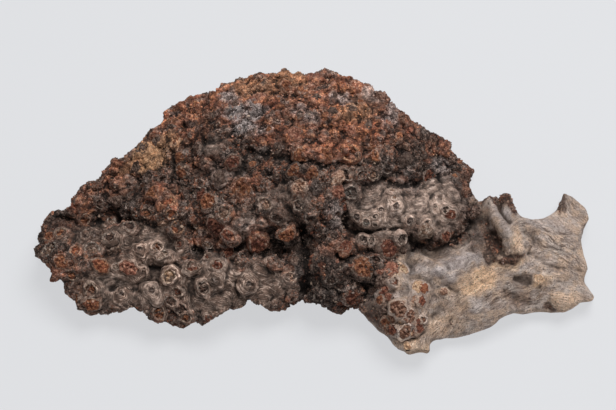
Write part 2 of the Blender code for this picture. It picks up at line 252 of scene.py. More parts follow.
def reachedTips(points):
    for start, end, reach in tips:
        gap = np.linalg.norm(picturePlaces(points) - start, axis=1)
        share = 1 - ramp(gap, 0.2 * reach, 1.6 * reach)
        points = shiftInPicture(points, share[:, None] * np.subtract(end, start))
    return points


def patchShare(places, patches):
    # 1 inside the patches, 0 well outside them
    share = np.zeros(len(places))
    for u, v, wide, high, turn, strength in patches:
        angle = math.radians(turn)
        offset = places - (u, v)
        across = (offset[:, 0] * math.cos(angle) + offset[:, 1] * math.sin(angle)) / wide
        along = (offset[:, 1] * math.cos(angle) - offset[:, 0] * math.sin(angle)) / high
        share = np.maximum(share, strength * (1 - ramp(np.hypot(across, along), 0.55, 1.35)))
    return np.minimum(share, 1)


# Where the ground has each look: rows of (u, v, half width, half height, turn in degrees, strength)
regions = {
    # where the weathered wood begins, from the back edge to the front one
    "woodEdge": ((480, 196), (476, 226), (470, 238), (455, 245), (412, 250), (398, 259), (389, 272),
                 (384, 290), (371, 305), (352, 318)),
    "woodFade": 9,
    # the waves of that edge: (half width in px, rows per radian, shift)
    "woodWaves": ((3.5, 4.1, 0), (2.5, 1.7, 1)),
    "rust": (
        (262, 98, 78, 30, -4, 0.95), (350, 112, 50, 32, 30, 1.0), (185, 118, 44, 26, -35, 0.8),
        (318, 140, 46, 20, 5, 0.95), (120, 178, 26, 15, -42, 0.75), (84, 200, 22, 14, -20, 0.6),
        (266, 130, 22, 14, 0, 0.7), (395, 125, 26, 16, 40, 0.55), (440, 148, 14, 9, 30, 0.5),
        (205, 165, 18, 14, 0, 0.4), (165, 196, 20, 14, 0, 0.5), (215, 232, 22, 14, 0, 0.45),
        (70, 225, 20, 12, 0, 0.3), (85, 290, 14, 14, 0, 0.6), (62, 268, 12, 10, 0, 0.5),
        (240, 190, 14, 12, 0, 0.5), (325, 248, 16, 5, 0, 0.8), (350, 250, 30, 9, 0, 0.5),
        (461, 195, 10, 22, 0, 0.35), (470, 178, 8, 14, 0, 0.4), (260, 240, 12, 12, 0, 0.6),
        (345, 150, 16, 14, 0, 0.8), (100, 262, 14, 10, 0, 0.4),
    ),
    "tan": (
        (150, 157, 17, 15, -20, 1.0), (168, 143, 14, 10, -30, 0.6), (285, 80, 20, 8, 0, 0.45),
        (255, 88, 30, 10, 0, 0.4), (128, 165, 12, 9, -40, 0.5), (355, 112, 18, 10, 0, 0.4),
    ),
    "grey": (
        (112, 240, 50, 16, 6, 0.85), (108, 280, 24, 12, 0, 0.8), (152, 246, 34, 24, 10, 1.1),
        (135, 285, 58, 26, 0, 1.25), (212, 288, 44, 30, 0, 1.25), (264, 284, 30, 24, 0, 1.0),
        (98, 300, 32, 12, 0, 0.75), (383, 212, 40, 30, 0, 1.0), (434, 207, 28, 30, 0, 1.0),
        (385, 242, 34, 12, 0, 0.75), (452, 181, 10, 9, 0, 0.3), (214, 147, 13, 12, 0, 0.8),
        (245, 222, 34, 16, 0, 0.45), (130, 190, 10, 12, 0, 0.4), (288, 204, 30, 22, 0, 0.6),
        (345, 183, 20, 14, 0, 0.4), (215, 172, 24, 12, 0, 0.35), (372, 100, 14, 9, 20, 0.35),
        (395, 178, 14, 8, 20, 0.3), (360, 100, 8, 5, 0, 0.5),
    ),
    # dark bark, with painted shade along the folds, in the valleys and under overhangs
    "dark": (
        (326, 280, 26, 34, 0, 0.9), (303, 264, 9, 34, 0, 1.0), (208, 132, 12, 17, 0, 1.15),
        (282, 158, 36, 9, 6, 0.7), (288, 212, 46, 22, 0, 0.0), (428, 160, 44, 30, 32, 0.6),
        (463, 192, 14, 26, 0, 0.95), (68, 222, 26, 18, 0, 0.95), (115, 205, 34, 12, -20, 0.6),
        (290, 244, 46, 10, 0, 0.7), (250, 165, 26, 12, 0, 0.5), (345, 200, 9, 26, 0, 0.7),
        (372, 280, 12, 24, 0, 0.85), (395, 170, 26, 10, 15, 0.6), (45, 245, 12, 24, 0, 0.6),
        (205, 252, 26, 8, 10, 0.7), (300, 165, 20, 12, 0, 0.5), (130, 225, 40, 6, 4, 0.5),
        (358, 265, 18, 16, 0, 0.6), (425, 244, 30, 7, 0, 0.7), (180, 190, 18, 22, 0, 0.5),
    ),
    "bright": (
        (384, 210, 40, 28, 0, 0.66), (434, 205, 28, 28, 0, 1.0), (450, 182, 9, 8, 0, 0.3),
        (385, 240, 30, 8, 0, 0.7), (160, 247, 18, 11, 10, 0.4), (229, 97, 10, 6, 0, 0.8),
        (253, 111, 15, 8, -15, 0.9), (243, 126, 14, 8, 0, 1.1), (236, 111, 12, 9, 0, 1.0),
        (262, 131, 8, 6, 0, 0.6), (222, 172, 14, 10, 0, 0.5), (372, 97, 12, 6, 20, 0.7),
        (392, 115, 9, 12, 40, 0.6), (400, 178, 16, 8, 20, 0.45), (300, 108, 9, 6, 0, 0.6),
        (340, 98, 12, 5, 10, 0.7), (440, 165, 12, 8, 0, 0.5), (315, 118, 8, 6, 0, 0.5),
        (335, 215, 10, 16, 0, 0.5), (272, 200, 14, 10, 0, 0.4), (128, 150, 6, 5, 0, 0.5),
        (214, 147, 12, 10, 0, 0.25), (108, 283, 18, 12, 0, 0.6), (218, 268, 16, 10, 0, 0.5),
        (288, 275, 14, 14, 0, 0.3), (150, 291, 24, 12, 0, 0.4), (250, 225, 14, 8, 0, 0.4),
        (225, 232, 12, 6, 0, 0.3),
    ),
    "ochre": (
        (476, 282, 26, 13, -22, 1.1), (486, 268, 16, 6, -24, 0.9), (440, 326, 22, 11, -20, 0.4),
        (456, 303, 14, 18, 0, 0.5), (508, 264, 20, 8, -10, 0.7), (415, 346, 12, 7, 0, 0.6),
        (566, 302, 16, 9, 0, 0.5), (538, 282, 7, 5, 0, 1.0), (590, 297, 7, 7, 0, 0.9),
        (399, 268, 9, 7, 0, 0.8), (500, 252, 8, 8, 0, 0.4), (515, 245, 7, 14, 20, 0.6),
        (585, 262, 6, 20, 0, 0.4), (546, 280, 10, 6, 0, 0.5),
    ),
    "lilac": (
        (453, 262, 16, 9, -10, 1.0), (440, 272, 9, 7, 0, 1.0), (454, 277, 8, 6, 0, 1.0),
        (452, 300, 9, 7, 0, 1.0), (472, 257, 10, 5, 0, 0.9), (503, 215, 6, 16, -20, 0.7),
        (545, 222, 26, 9, 10, 0.6), (415, 268, 14, 7, 0, 0.7), (395, 300, 8, 9, 0, 0.6),
        (478, 306, 12, 7, -10, 0.6), (520, 268, 12, 4, 0, 0.6),
    ),
    # brown lines along the grain of the wood
    "streak": (
        (545, 240, 36, 16, 20, 1.0), (520, 296, 24, 10, 20, 1.0), (565, 262, 22, 10, 30, 0.7),
        (478, 312, 20, 8, -20, 0.4), (550, 292, 16, 6, 10, 0.6), (418, 258, 26, 6, -8, 0.6),
        (438, 326, 26, 12, -20, 0.7), (413, 345, 12, 8, 0, 0.2), (498, 300, 14, 12, 0, 0.9),
    ),
    # dark crusty stains on the wood, and painted shadow on its shaded slopes, beside bumps and under its
    # ledge
    "stainAndShade": (
        (492, 240, 8, 15, -25, 1.3), (517, 298, 16, 6, 20, 0.55), (525, 279, 8, 4, 10, 0.45),
        (376, 316, 28, 10, 46, 0.85), (398, 337, 18, 3, 10, 0.85), (404, 326, 18, 6, 0, 0.75),
        (489, 201, 11, 9, 0, 1.4), (506, 198, 12, 10, 0, 1.4), (508, 258, 14, 6, -10, 1.3),
        (477, 240, 11, 16, 20, 0.6), (512, 206, 5, 13, -15, 1.2), (566, 196, 5, 3, 0, 0.8),
        (558, 206, 3, 6, 0, 0.8), (490, 254, 8, 8, 0, 0.8), (485, 226, 5, 12, 0, 0.8),
        (384, 300, 11, 24, 20, 0.75), (376, 276, 8, 14, 10, 0.8), (550, 309, 7, 4, 0, 0.8),
        (407, 300, 26, 26, 0, 0.3), (432, 260, 30, 5, -8, 0.25), (565, 204, 4, 5, 0, 0.6),
        (440, 327, 24, 11, -20, 0.14), (500, 301, 13, 11, 0, 0.12),
    ),
}

# Folds: (depth in mm, half width in px, course)
folds = (
    (3.0, 2.6, ((60, 216), (75, 222), (103, 221), (137, 219), (155, 225), (177, 220), (192, 226),
                (197, 246))),
    (2.5, 3.0, ((192, 248), (230, 250), (263, 251), (290, 250), (303, 236))),
    (2.5, 2.5, ((147, 268), (163, 268), (175, 263))),
    (2.0, 2.5, ((110, 289), (130, 290), (150, 283))),
    (5.5, 4.0, ((302, 228), (306, 250), (307, 275), (302, 300))),
    (4.0, 2.2, ((345, 228), (360, 231), (373, 232), (387, 229), (400, 230))),
    (3.0, 2.4, ((340, 257), (353, 256), (372, 250))),
    (3.0, 3.0, ((410, 237), (413, 246), (437, 249), (453, 243), (465, 230), (473, 223))),
    (3.0, 3.0, ((203, 140), (220, 141), (240, 147), (262, 156), (300, 160), (330, 166))),
    (3.0, 3.0, ((380, 177), (397, 185), (412, 184), (425, 179))),
    (3.0, 3.0, ((345, 160), (343, 200), (345, 226))),
)

barkShares = ("rust", "tan", "grey", "bright", "dark")
woodShares = ("ochre", "lilac", "streak", "stainAndShade")

# Courses that the grain of wood and fibrous bark follows
grainCourses = {
    "wood": ((392, 356), (420, 322), (448, 296), (480, 276), (520, 262), (556, 256), (600, 274)),
    "plate": ((500, 226), (522, 238), (548, 246), (575, 258), (592, 276)),
    "grey": ((40, 262), (90, 268), (140, 256), (190, 262), (240, 282), (300, 282)),
    "swell": ((330, 236), (360, 222), (395, 226), (430, 228), (470, 214)),
}
grainField = {
    "swellFrom": 322,                            # px, where the bark's grain turns to the swell's
    "plate": ((556, 236, 48, 34, 10, 1.0),),     # the patch where the plate's grain holds
    "bend": (34 * mm, 9 * mm, 71),               # (size, height, salt) of slow bends
    "wobble": (7 * mm, 1.6 * mm, 72),            # of small ones round the buds
    "budRings": (0.5 * mm, 7 * mm),              # from a bud's rim, where its rings begin to fade and end
    "budBlend": 3.5 * mm,                        # how softly the rings of two buds meet
}


def readPoints(mesh, kind="co"):
    # the places of a mesh's points, or their normals
    values = np.empty(len(mesh.vertices) * 3, np.float32)
    mesh.vertices.foreach_get(kind, values)
    return values.reshape(-1, 3).astype(float)


def writePoints(mesh, points):
    mesh.vertices.foreach_set("co", points.astype(np.float32).ravel())
    mesh.update()


def edgeEnds(mesh):
    ends = np.empty(len(mesh.edges) * 2, np.int32)
    mesh.edges.foreach_get("vertices", ends)
    return ends.reshape(-1, 2)


def averaged(values, ends, rounds):
    # each value moved to the mean of its neighbours, again and again
    flat = values.reshape(len(values), -1).astype(float)
    count = np.bincount(ends.ravel(), minlength=len(flat))
    for _ in range(rounds):
        total = np.zeros_like(flat)
        for column in range(flat.shape[1]):
            total[:, column] = np.bincount(ends[:, 0], flat[ends[:, 1], column], len(flat))
            total[:, column] += np.bincount(ends[:, 1], flat[ends[:, 0], column], len(flat))
        flat = 0.5 * flat + 0.5 * total / np.maximum(count, 1)[:, None]
    return flat.reshape(values.shape)


def settle(obj):
    graph = bpy.context.evaluated_depsgraph_get()
    made = bpy.data.meshes.new_from_object(obj.evaluated_get(graph))
    obj.modifiers.clear()
    obj.data = made


def insideBox(points):
    # nothing stands past the box of the frame's burl
    return np.clip(points, np.array(cadLow), np.array(cadHigh))


def newObject(name, data):
    obj = bpy.data.objects.new(name, data)
    bpy.context.scene.collection.objects.link(obj)
    return obj


def setNumbers(mesh, name, values):
    kind = "FLOAT_VECTOR" if values.ndim == 2 else "FLOAT"
    layer = mesh.attributes.new(name, kind, "POINT")
    layer.data.foreach_set("vector" if values.ndim == 2 else "value", values.astype(np.float32).ravel())


body = {
    "voxel": 3.66 * mm,
    "smoothing": 4,
    "inflate": (0.6 * mm, -0.4 * mm),  # of the bark and of the wood
    "margin": (-1.1, 0.4),     # px that bark and wood may stand past the outline
    # the bark's notches along the outline: (spacing, depth in px), and how slowly they change with depth
    "notches": ((12 * mm, 2.6), (5.5 * mm, 1.8)),
    "notchRun": 0.35,
    "dents": (24 * mm, 9),     # size, and depth in px, of the dents past the outline
    "fineAbove": -0.3,         # faces that look up more than this are divided
    # the crust's lumps, from large to small: (spacing, height, warp of their outlines)
    "crust": ((15 * mm, 3.4 * mm, 0.35), (7.2 * mm, 2.1 * mm, 0.4), (3.9 * mm, 0.8 * mm, 0.3)),
    "ridges": (5.5 * mm, 0.8 * mm),
    # swells of each ground: (size, height, salt)
    "barkSwell": (18 * mm, 1.6 * mm, 51),
    "woodSwell": (13 * mm, 1.3 * mm, 54),
    "woodRipple": (5.5 * mm, 0.7 * mm, 59),
    "greySwell": (8 * mm, 1.3 * mm, 55),
    "underSwell": (11 * mm, 1.2 * mm, 56),
    # uneven shifts in the picture: (size, salt, most in px)
    "woodWander": (12 * mm, 31, 5),              # of the wood's edge
    "hiddenWander": (34 * mm, 33, 30),           # of the same on sides that the photograph doesn't show
    "patchWander": (9 * mm, 41, 6),              # of the patches of each look
    "foldWander": (9 * mm, 41, 2.4),
    # how much of the crust grey bark and the underside take away, and how much the wood's stains and
    # painted-shade patches get
    "crustShare": {"grey": 0.93, "under": 0.8, "stainAndShade": 0.6},
    "looseCrust": (30 * mm, 0.45, 50),           # (size, strength, salt) of its uneven height
    # lines along the grain: (width, height)
    "greyFibres": (2.6 * mm, 0.7 * mm),
    "woodFibres": (3.8 * mm, 0.65 * mm),
    "fibreRun": 0.13,          # how slowly the lines change along the grain
    "budMound": (1.3 * mm, 2.6 * mm),            # height and width of the ground's rise to a bud
    "budFurrow": (0.8 * mm, 3.4 * mm, 1.5 * mm),  # depth, distance from the rim and width round it
    "stainAndShadeDepth": 0.8 * mm,
    "floorFade": (0.5 * mm, 6 * mm),             # heights over the floor where the relief begins and is full
    # patches of the sides that the photograph doesn't show: (size, noise where they begin and are full)
    "hiddenPatches": {"rust": (55 * mm, -0.05, 0.35), "grey": (60 * mm, 0.2, 0.45),
                      "dark": (45 * mm, 0.2, 0.5)},
    "salt": 11,
}

# Forms of the weathered wood: (height in mm, half width in px, course)
woodForms = (
    (4.5, 6.0, ((488, 206), (494, 218), (504, 230), (513, 240), (518, 250))),
    (4.0, 5.0, ((507, 201), (511, 212), (517, 223))),
    (-2.6, 2.4, ((496, 203), (501, 212), (509, 222))),
    (-3.6, 3.6, ((491, 234), (495, 243), (502, 253))),
    (2.6, 4.0, ((482, 228), (484, 240), (490, 250))),
    (3.2, 3.2, ((498, 259), (507, 262), (516, 258), (520, 249))),
    (-2.6, 3.8, ((517, 278), (529, 282))),
    (3.8, 3.6, ((535, 281), (540, 282))),
    (1.6, 3.0, ((514, 273), (530, 272), (544, 277), (545, 285))),
    (-2.4, 5.0, ((508, 290), (518, 298), (531, 305))),
    (3.4, 6.0, ((449, 277), (451, 279))),
    (3.0, 5.0, ((438, 269), (440, 271))),
    (4.2, 4.0, ((384, 325), (396, 328), (408, 329), (419, 323))),
    (-3.2, 3.4, ((378, 332), (392, 338), (408, 340), (424, 332))),
    (2.6, 7.0, ((395, 309), (404, 313))),
    (2.6, 10.0, ((460, 263), (468, 258))),
    (2.4, 7.0, ((470, 301), (474, 306))),
    (2.0, 7.0, ((447, 296), (449, 300))),
    (-1.8, 4.0, ((450, 288), (458, 292))),
    (-1.6, 4.0, ((444, 262), (448, 266))),
    (3.0, 11.0, ((560, 299), (566, 299))),
    (-1.6, 5.0, ((548, 300), (551, 309))),
    (1.4, 3.2, ((524, 222), (545, 236), (572, 238))),
    (-1.4, 3.2, ((526, 232), (545, 246), (574, 248))),
    (1.3, 3.2, ((526, 243), (548, 257), (578, 258))),
    (-1.3, 3.2, ((530, 254), (552, 266), (580, 268))),
    (1.3, 3.2, ((540, 266), (562, 275), (584, 276))),
    (-2.0, 6.0, ((470, 250), (440, 256), (415, 262))),
    (1.8, 7.0, ((478, 312), (455, 330), (420, 340))),
    (-1.5, 4.0, ((440, 308), (425, 325))),
    (2.0, 5.0, ((388, 272), (378, 288), (370, 302))),
    (-2.2, 4.0, ((396, 285), (388, 300), (384, 318))),
)


def bodyMesh():
    obj = newObject("burlBody", frame["nodes"]["burl"].data.copy())
    obj.data.materials.clear()
    remesh = obj.modifiers.new("even", "REMESH")
    remesh.mode = "VOXEL"
    remesh.voxel_size = body["voxel"]
    smooth = obj.modifiers.new("soft", "SMOOTH")
    smooth.factor = 0.5
    smooth.iterations = body["smoothing"]
    settle(obj)
    shape = bmesh.new()
    shape.from_mesh(obj.data)
    shape.normal_update()
    upper = {edge for face in shape.faces if face.normal.z > body["fineAbove"] for edge in face.edges}
    bmesh.ops.subdivide_edges(shape, edges=list(upper), cuts=1, use_grid_fill=True)
    bmesh.ops.triangulate(shape, faces=shape.faces[:])
    shape.to_mesh(obj.data)
    shape.free()
    writePoints(obj.data, averaged(readPoints(obj.data), edgeEnds(obj.data), 1))
    print("body:", len(obj.data.vertices), "points,", len(obj.data.polygons), "triangles")
    return obj


burlBody = bodyMesh()


def treeOf(mesh):
    points = [vertex.co.copy() for vertex in mesh.vertices]
    return BVHTree.FromPolygons(points, [tuple(face.vertices) for face in mesh.polygons])


# Buds read from the photograph, by the way they are made: (u, v, radius in px, look)
buds = {
    "rings": (
        (112, 224, 6, "pale"), (87, 236, 6, "dark"), (110, 239, 7, "dark"), (76, 253, 6, "orange"),
        (92, 250, 8, "pale"), (52, 250, 9, "pale"), (82, 266, 4, "dark"), (156, 248, 6, "rust"),
        (163, 257, 7, "pale"), (169, 258, 5, "red"), (182, 244, 5, "red"), (177, 228, 7, "orange"),
        (170, 277, 8, "cream"), (192, 268, 7, "red"), (217, 266, 7, "red"), (209, 257, 4, "red"),
        (204, 288, 7, "dark"), (92, 290, 7, "rust"), (159, 313, 7, "rust"), (188, 317, 6, "rust"),
        (181, 308, 7, "dark"), (289, 278, 6, "tan"), (246, 257, 8, "dark"), (147, 213, 6, "rust"),
        (136, 215, 4, "pale"), (129, 205, 4, "pale"), (224, 212, 7, "tan"), (265, 204, 7, "tan"),
        (208, 245, 5, "pale"), (196, 224, 4, "pale"), (348, 174, 6, "star"), (361, 175, 5, "dark"),
        (371, 172, 7, "tan"), (392, 193, 4, "tan"), (376, 217, 3, "star"), (400, 238, 6, "star"),
        (364, 241, 5, "star"), (373, 242, 4, "star"), (376, 223, 3, "star"), (394, 199, 3, "pale"),
        (351, 192, 7, "disc"), (366, 222, 4, "disc"), (445, 211, 4, "star"), (434, 207, 3, "star"),
        (421, 235, 3, "star"), (357, 217, 4, "grey"), (382, 210, 3, "dark"), (409, 220, 4, "grey"),
        (396, 207, 4, "grey"), (413, 192, 4, "grey"), (426, 222, 3, "grey"), (385, 228, 3, "grey"),
        (440, 197, 3, "grey"), (394, 282, 5, "red"), (421, 321, 4, "ledge"), (232, 240, 6, "dark"),
        (115, 267, 4, "pale"), (178, 292, 5, "red"), (300, 205, 6, "dark"), (278, 216, 6, "dark"),
        (310, 215, 6, "dark"), (335, 215, 5, "dark"), (167, 202, 8, "orange"), (350, 153, 9, "orange"),
        (171, 213, 6, "orange"), (230, 198, 6, "dark"), (200, 183, 5, "dark"), (165, 178, 6, "dark"),
        (150, 195, 5, "dark"), (62, 235, 7, "rust"), (48, 262, 5, "rust"), (85, 218, 6, "rust"),
        (100, 205, 5, "dark"), (72, 275, 6, "rust"), (240, 304, 5, "tan"), (295, 295, 5, "dark"),
        (320, 295, 6, "dark"), (330, 278, 6, "dark"), (340, 285, 6, "dark"), (375, 262, 6, "dark"),
        (115, 308, 6, "rust"), (172, 300, 6, "dark"),
    ),
    "swirls": (
        (95, 237, 6, "grey"), (110, 247, 5, "grey"), (215, 281, 6, "grey"), (153, 293, 8, "grey"),
        (248, 284, 7, "grey"), (127, 186, 7, "grey"), (245, 225, 7, "grey"), (198, 238, 4, "grey"),
        (124, 262, 6, "grey"), (140, 250, 6, "grey"), (273, 262, 6, "grey"),
        (139, 272, 7, "grey"), (122, 295, 7, "grey"), (262, 186, 6, "grey"), (318, 198, 6, "grey"),
        (188, 205, 5, "grey"),
    ),
    "scabs": (
        (157, 192, 6, "rust"), (101, 266, 7, "orange"), (129, 268, 8, "pinkish"), (257, 243, 9, "red"),
        (287, 233, 7, "rust"), (228, 236, 6, "red"), (217, 226, 9, "red"), (210, 203, 8, "rust"),
        (202, 195, 6, "red"), (242, 188, 9, "rust"), (183, 158, 6, "rust"), (182, 172, 6, "rust"),
        (335, 190, 8, "pinkish"), (343, 205, 5, "red"), (324, 155, 6, "rust"), (375, 156, 5, "rust"),
        (372, 147, 3, "rust"), (449, 214, 5, "red"), (445, 236, 5, "red"), (387, 250, 9, "red"),
        (345, 248, 7, "red"), (315, 262, 6, "red"), (343, 273, 7, "dark"), (364, 268, 10, "rust"),
        (352, 295, 8, "red"), (342, 300, 6, "red"), (421, 301, 5, "red"), (415, 300, 4, "tan"),
        (390, 270, 7, "pinkish"), (382, 271, 5, "pinkish"), (397, 265, 5, "barky"), (384, 290, 4, "red"),
        (380, 300, 4, "rust"), (408, 316, 6, "ledge"), (416, 325, 6, "red"), (399, 309, 8, "ledge"),
        (405, 329, 6, "ledge"), (395, 328, 6, "red"), (386, 325, 5, "rust"), (393, 317, 5, "ledge"),
        (411, 331, 4, "ledge"), (92, 303, 7, "rust"), (62, 262, 7, "rust"), (295, 172, 6, "rust"),
        (312, 174, 6, "rust"), (300, 188, 7, "tan"), (318, 186, 7, "grey"), (50, 240, 6, "rust"),
        (76, 300, 7, "rust"),
    ),
    "nubs": (
        (163, 222, 5, "tan"), (337, 178, 6, "tan"), (425, 230, 6, "pale"), (56, 274, 6, "pinkish"),
        (424, 288, 4, "orange"), (418, 286, 5, "cream"), (402, 268, 4, "cream"), (386, 276, 4, "barky"),
        (400, 318, 3, "cream"), (410, 311, 3, "pinkish"), (388, 297, 3, "pinkish"), (396, 333, 3, "cream"),
        (410, 332, 3, "cream"), (388, 331, 3, "tan"), (444, 292, 3, "tan"), (407, 347, 3, "cream"),
        (538, 281, 3, "cream"), (380, 282, 5, "barky"), (374, 292, 4, "dark"), (382, 314, 4, "barky"),
    ),
    "lumps": (
        (326, 74, 5, "barky"), (344, 79, 6, "barky"), (357, 86, 7, "barky"), (367, 92, 6, "barky"),
        (380, 98, 5, "barky"), (390, 108, 5, "barky"), (401, 116, 6, "barky"), (411, 125, 5, "barky"),
        (423, 134, 6, "barky"), (434, 140, 5, "barky"), (444, 148, 6, "barky"), (453, 161, 5, "barky"),
        (465, 174, 7, "barky"), (466, 190, 6, "barky"), (284, 74, 5, "barky"), (296, 79, 4, "barky"),
        (239, 88, 5, "barky"), (213, 98, 5, "barky"), (186, 104, 5, "barky"), (163, 122, 5, "barky"),
        (139, 146, 5, "barky"), (117, 163, 5, "barky"), (96, 181, 5, "barky"), (44, 232, 6, "barky"),
        (42, 250, 5, "barky"), (70, 292, 6, "barky"), (80, 308, 6, "barky"),
    ),
    # the small lumps along the outline: px between them, radius and inset in px
    "teeth": {"step": 6.2, "radius": (2.3, 4.4), "inset": 2.0, "mostWood": 0.3, "salt": 6},
    "drawn": {
        # what the rest of the bark gets, by the ground it stands on
        "rust": (("scabs", "rust"), ("scabs", "barky"), ("scabs", "barky"), ("scabs", "pinkish"),
                 ("rings", "barky")),
        "grey": (("swirls", "grey"), ("lumps", "barky"), ("lumps", "barky"), ("lumps", "barky"),
                 ("rings", "dark"), ("scabs", "red")),
        "brown": (("rings", "dark"), ("swirls", "grey"), ("scabs", "red"), ("scabs", "barky"),
                  ("scabs", "barky"), ("scabs", "rust"), ("rings", "barky"), ("nubs", "barky")),
    },
    # the drawn ones keep off ground that has more of a look than this, or looks down more
    "keepOff": {"wood": 0.1, "bright": 0.5, "dark": 0.8, "grey": 0.75},
    "facingUp": -0.3,
    "spacing": 15 * mm,
    "extra": 300,
    "extraRadius": (2.8 * mm, 4.0 * mm),         # the least, and what the draw adds to it
    "salt": 5,
}


def budAt(tree, place, radius, way, look, group):
    # a bud's spot is where the eye's ray through its pixel meets the body
    spot, normal, _, _ = tree.ray_cast(eye, viewRay(*place))
    bud = {"spot": spot, "normal": normal, "radius": radius * view["pixel"], "way": way, "look": look,
           "group": group}
    return [bud] if spot else []


def namedBuds(tree):
    found = []
    for way in ("rings", "swirls", "scabs", "nubs", "lumps"):
        for u, v, radius, look in buds[way]:
            found += budAt(tree, (u, v), radius, way, look, "named")
    return found


def toothBuds(tree):
    # small lumps all along the bark's outline
    settings = buds["teeth"]
    draw = random.Random(settings["salt"])
    corners = np.array(outline + outline[:1], float)
    lengths = np.append(0, np.cumsum(np.linalg.norm(np.diff(corners, axis=0), axis=1)))

    def placeAt(length):
        return np.array([np.interp(length, lengths, corners[:, i]) for i in range(2)])

    found, at = [], 0.0
    while at < lengths[-1]:
        place = placeAt(at)
        run = placeAt(at + 1) - place
        place = place + np.array((-run[1], run[0])) * settings["inset"] / max(np.hypot(*run), 0.1)
        radius = draw.uniform(*settings["radius"])
        at += settings["step"] * draw.uniform(0.6, 1.4)
        if woodShare(place[None])[0] < settings["mostWood"]:
            found += budAt(tree, place, radius, "lumps", "barky", "teeth")
    return found


def extraBuds(mesh, found, shares):
    # the rest of the bark gets buds by a seeded draw that keeps them apart
    draw = random.Random(buds["salt"])
    points, normals = readPoints(mesh), readPoints(mesh, "normal")
    allowed = normals[:, 2] > buds["facingUp"]
    for name, most in buds["keepOff"].items():
        allowed &= shares[name] < most
    allowed = np.flatnonzero(allowed)
    spots = [np.array(bud["spot"]) for bud in found]
    chosen = []
    for _ in range(buds["extra"] * 12):
        if len(chosen) >= buds["extra"]:
            break
        index = allowed[draw.randrange(len(allowed))]
        if np.min(np.linalg.norm(np.array(spots) - points[index], axis=1)) < buds["spacing"]:
            continue
        spots.append(points[index])
        chosen.append(index)
    made = []
    tree = treeOf(mesh)
    least, more = buds["extraRadius"]
    for index in chosen:
        near, normal, _, _ = tree.find_nearest(Vector(points[index]))
        ground = next((name for name in ("rust", "grey") if shares[name][index] > 0.4), "brown")
        way, look = draw.choice(buds["drawn"][ground])
        made.append({"spot": near, "normal": normal, "radius": least + more * draw.random() ** 1.5,
                     "way": way, "look": look, "group": "extra"})
    return made


def woodShare(places):
    # 0 on the bark, 1 on the weathered wood
    edge, rows = np.array(regions["woodEdge"], float).T
    border = np.interp(places[:, 1], rows, edge)
    wobble = sum(size * np.sin(places[:, 1] / run + shift) for size, run, shift in regions["woodWaves"])
    return np.clip((places[:, 0] - border - wobble) / regions["woodFade"] + 0.5, 0, 1)


def budReach(points, spots, radii):
    # distance to the nearest bud's rim, smoothed where two buds meet, in metres
    soft = grainField["budBlend"]
    atOnce = 8000
    reach = np.empty(len(points))
    for start in range(0, len(points), atOnce):
        part = points[start:start + atOnce]
        gap = np.linalg.norm(part[:, None] - spots[None], axis=2) - radii[None]
        reach[start:start + atOnce] = -soft * np.log(np.exp(-gap / soft).sum(axis=1) + 1e-12)
    return reach


def scaledNoise(points, settings):
    size, height, salt = settings
    return roughNoise(points, size, salt) * height


def grainOf(points, places, wood, spots, radii):
    # a number that is even along each fibre: it follows the courses, and rings the buds
    courses = {name: courseDistance(places, course) * view["pixel"] for name, course in grainCourses.items()}
    for name in ("wood", "plate"):
        course = np.interp(places[:, 0], *zip(*grainCourses[name]))
        courses[name] = courses[name] * np.where(places[:, 1] > course, 1, -1)
    broad = np.where(places[:, 0] > grainField["swellFrom"], courses["swell"], courses["grey"])
    plate = patchShare(places, grainField["plate"])
    wooden = courses["wood"] * (1 - plate) + courses["plate"] * plate
    broad = broad * (1 - wood) + wooden * wood + scaledNoise(points, grainField["bend"])
    reach = budReach(points, spots, radii) + scaledNoise(points, grainField["wobble"])
    near = 1 - ramp(reach, *grainField["budRings"])
    return broad * (1 - near) + reach * near, reach


def wander(points, settings):
    # uneven shifts in the picture, in px
    size, salt, most = settings
    return np.stack([roughNoise(points, size, salt), roughNoise(points, size, salt + 1)], 1) * most


def groundShares(points, places, facing):
    # how much of each look a point gets, and how much of it is wood
    drift = wander(points, body["woodWander"])
    drift[:, 0] += wander(points, body["hiddenWander"])[:, 0] * (1 - facing)
    wood = woodShare(places + drift)
    shifted = places + wander(points, body["patchWander"])
    shares = {name: patchShare(shifted, regions[name]) for name in barkShares + woodShares}
    for salt, (name, (size, least, most)) in enumerate(body["hiddenPatches"].items()):
        patches = ramp(roughNoise(points, size, 90 + salt), least, most)
        shares[name] = shares[name] * facing + patches * (1 - facing)
    for name in barkShares:
        shares[name] *= 1 - wood
    for name in woodShares:
        shares[name] *= wood
    return wood, shares


def crustRelief(points, loose):
    # lumps with cracks between them, and a number for each lump
    rise, number = np.zeros(len(points)), np.zeros(len(points))
    for step, (size, height, warp) in enumerate(body["crust"]):
        bend = np.stack([softNoise(points, size * 0.8, 3 + 3 * step + i) for i in range(3)], 1)
        first, second, cell = grainNoise(points + bend * size * warp, size, body["salt"] + 9 * step)
        rise += loose * height * (0.6 - ramp(first, 0.1, 0.9)) * (0.55 + 0.9 * cell)
        rise -= loose * height * 0.35 * (1 - ramp(second - first, 0.02, 0.22))
        number += cell / len(body["crust"])
    size, height = body["ridges"]
    rise += loose * height * (0.5 - 2 * np.abs(roughNoise(points, size, 57)))
    return rise, number


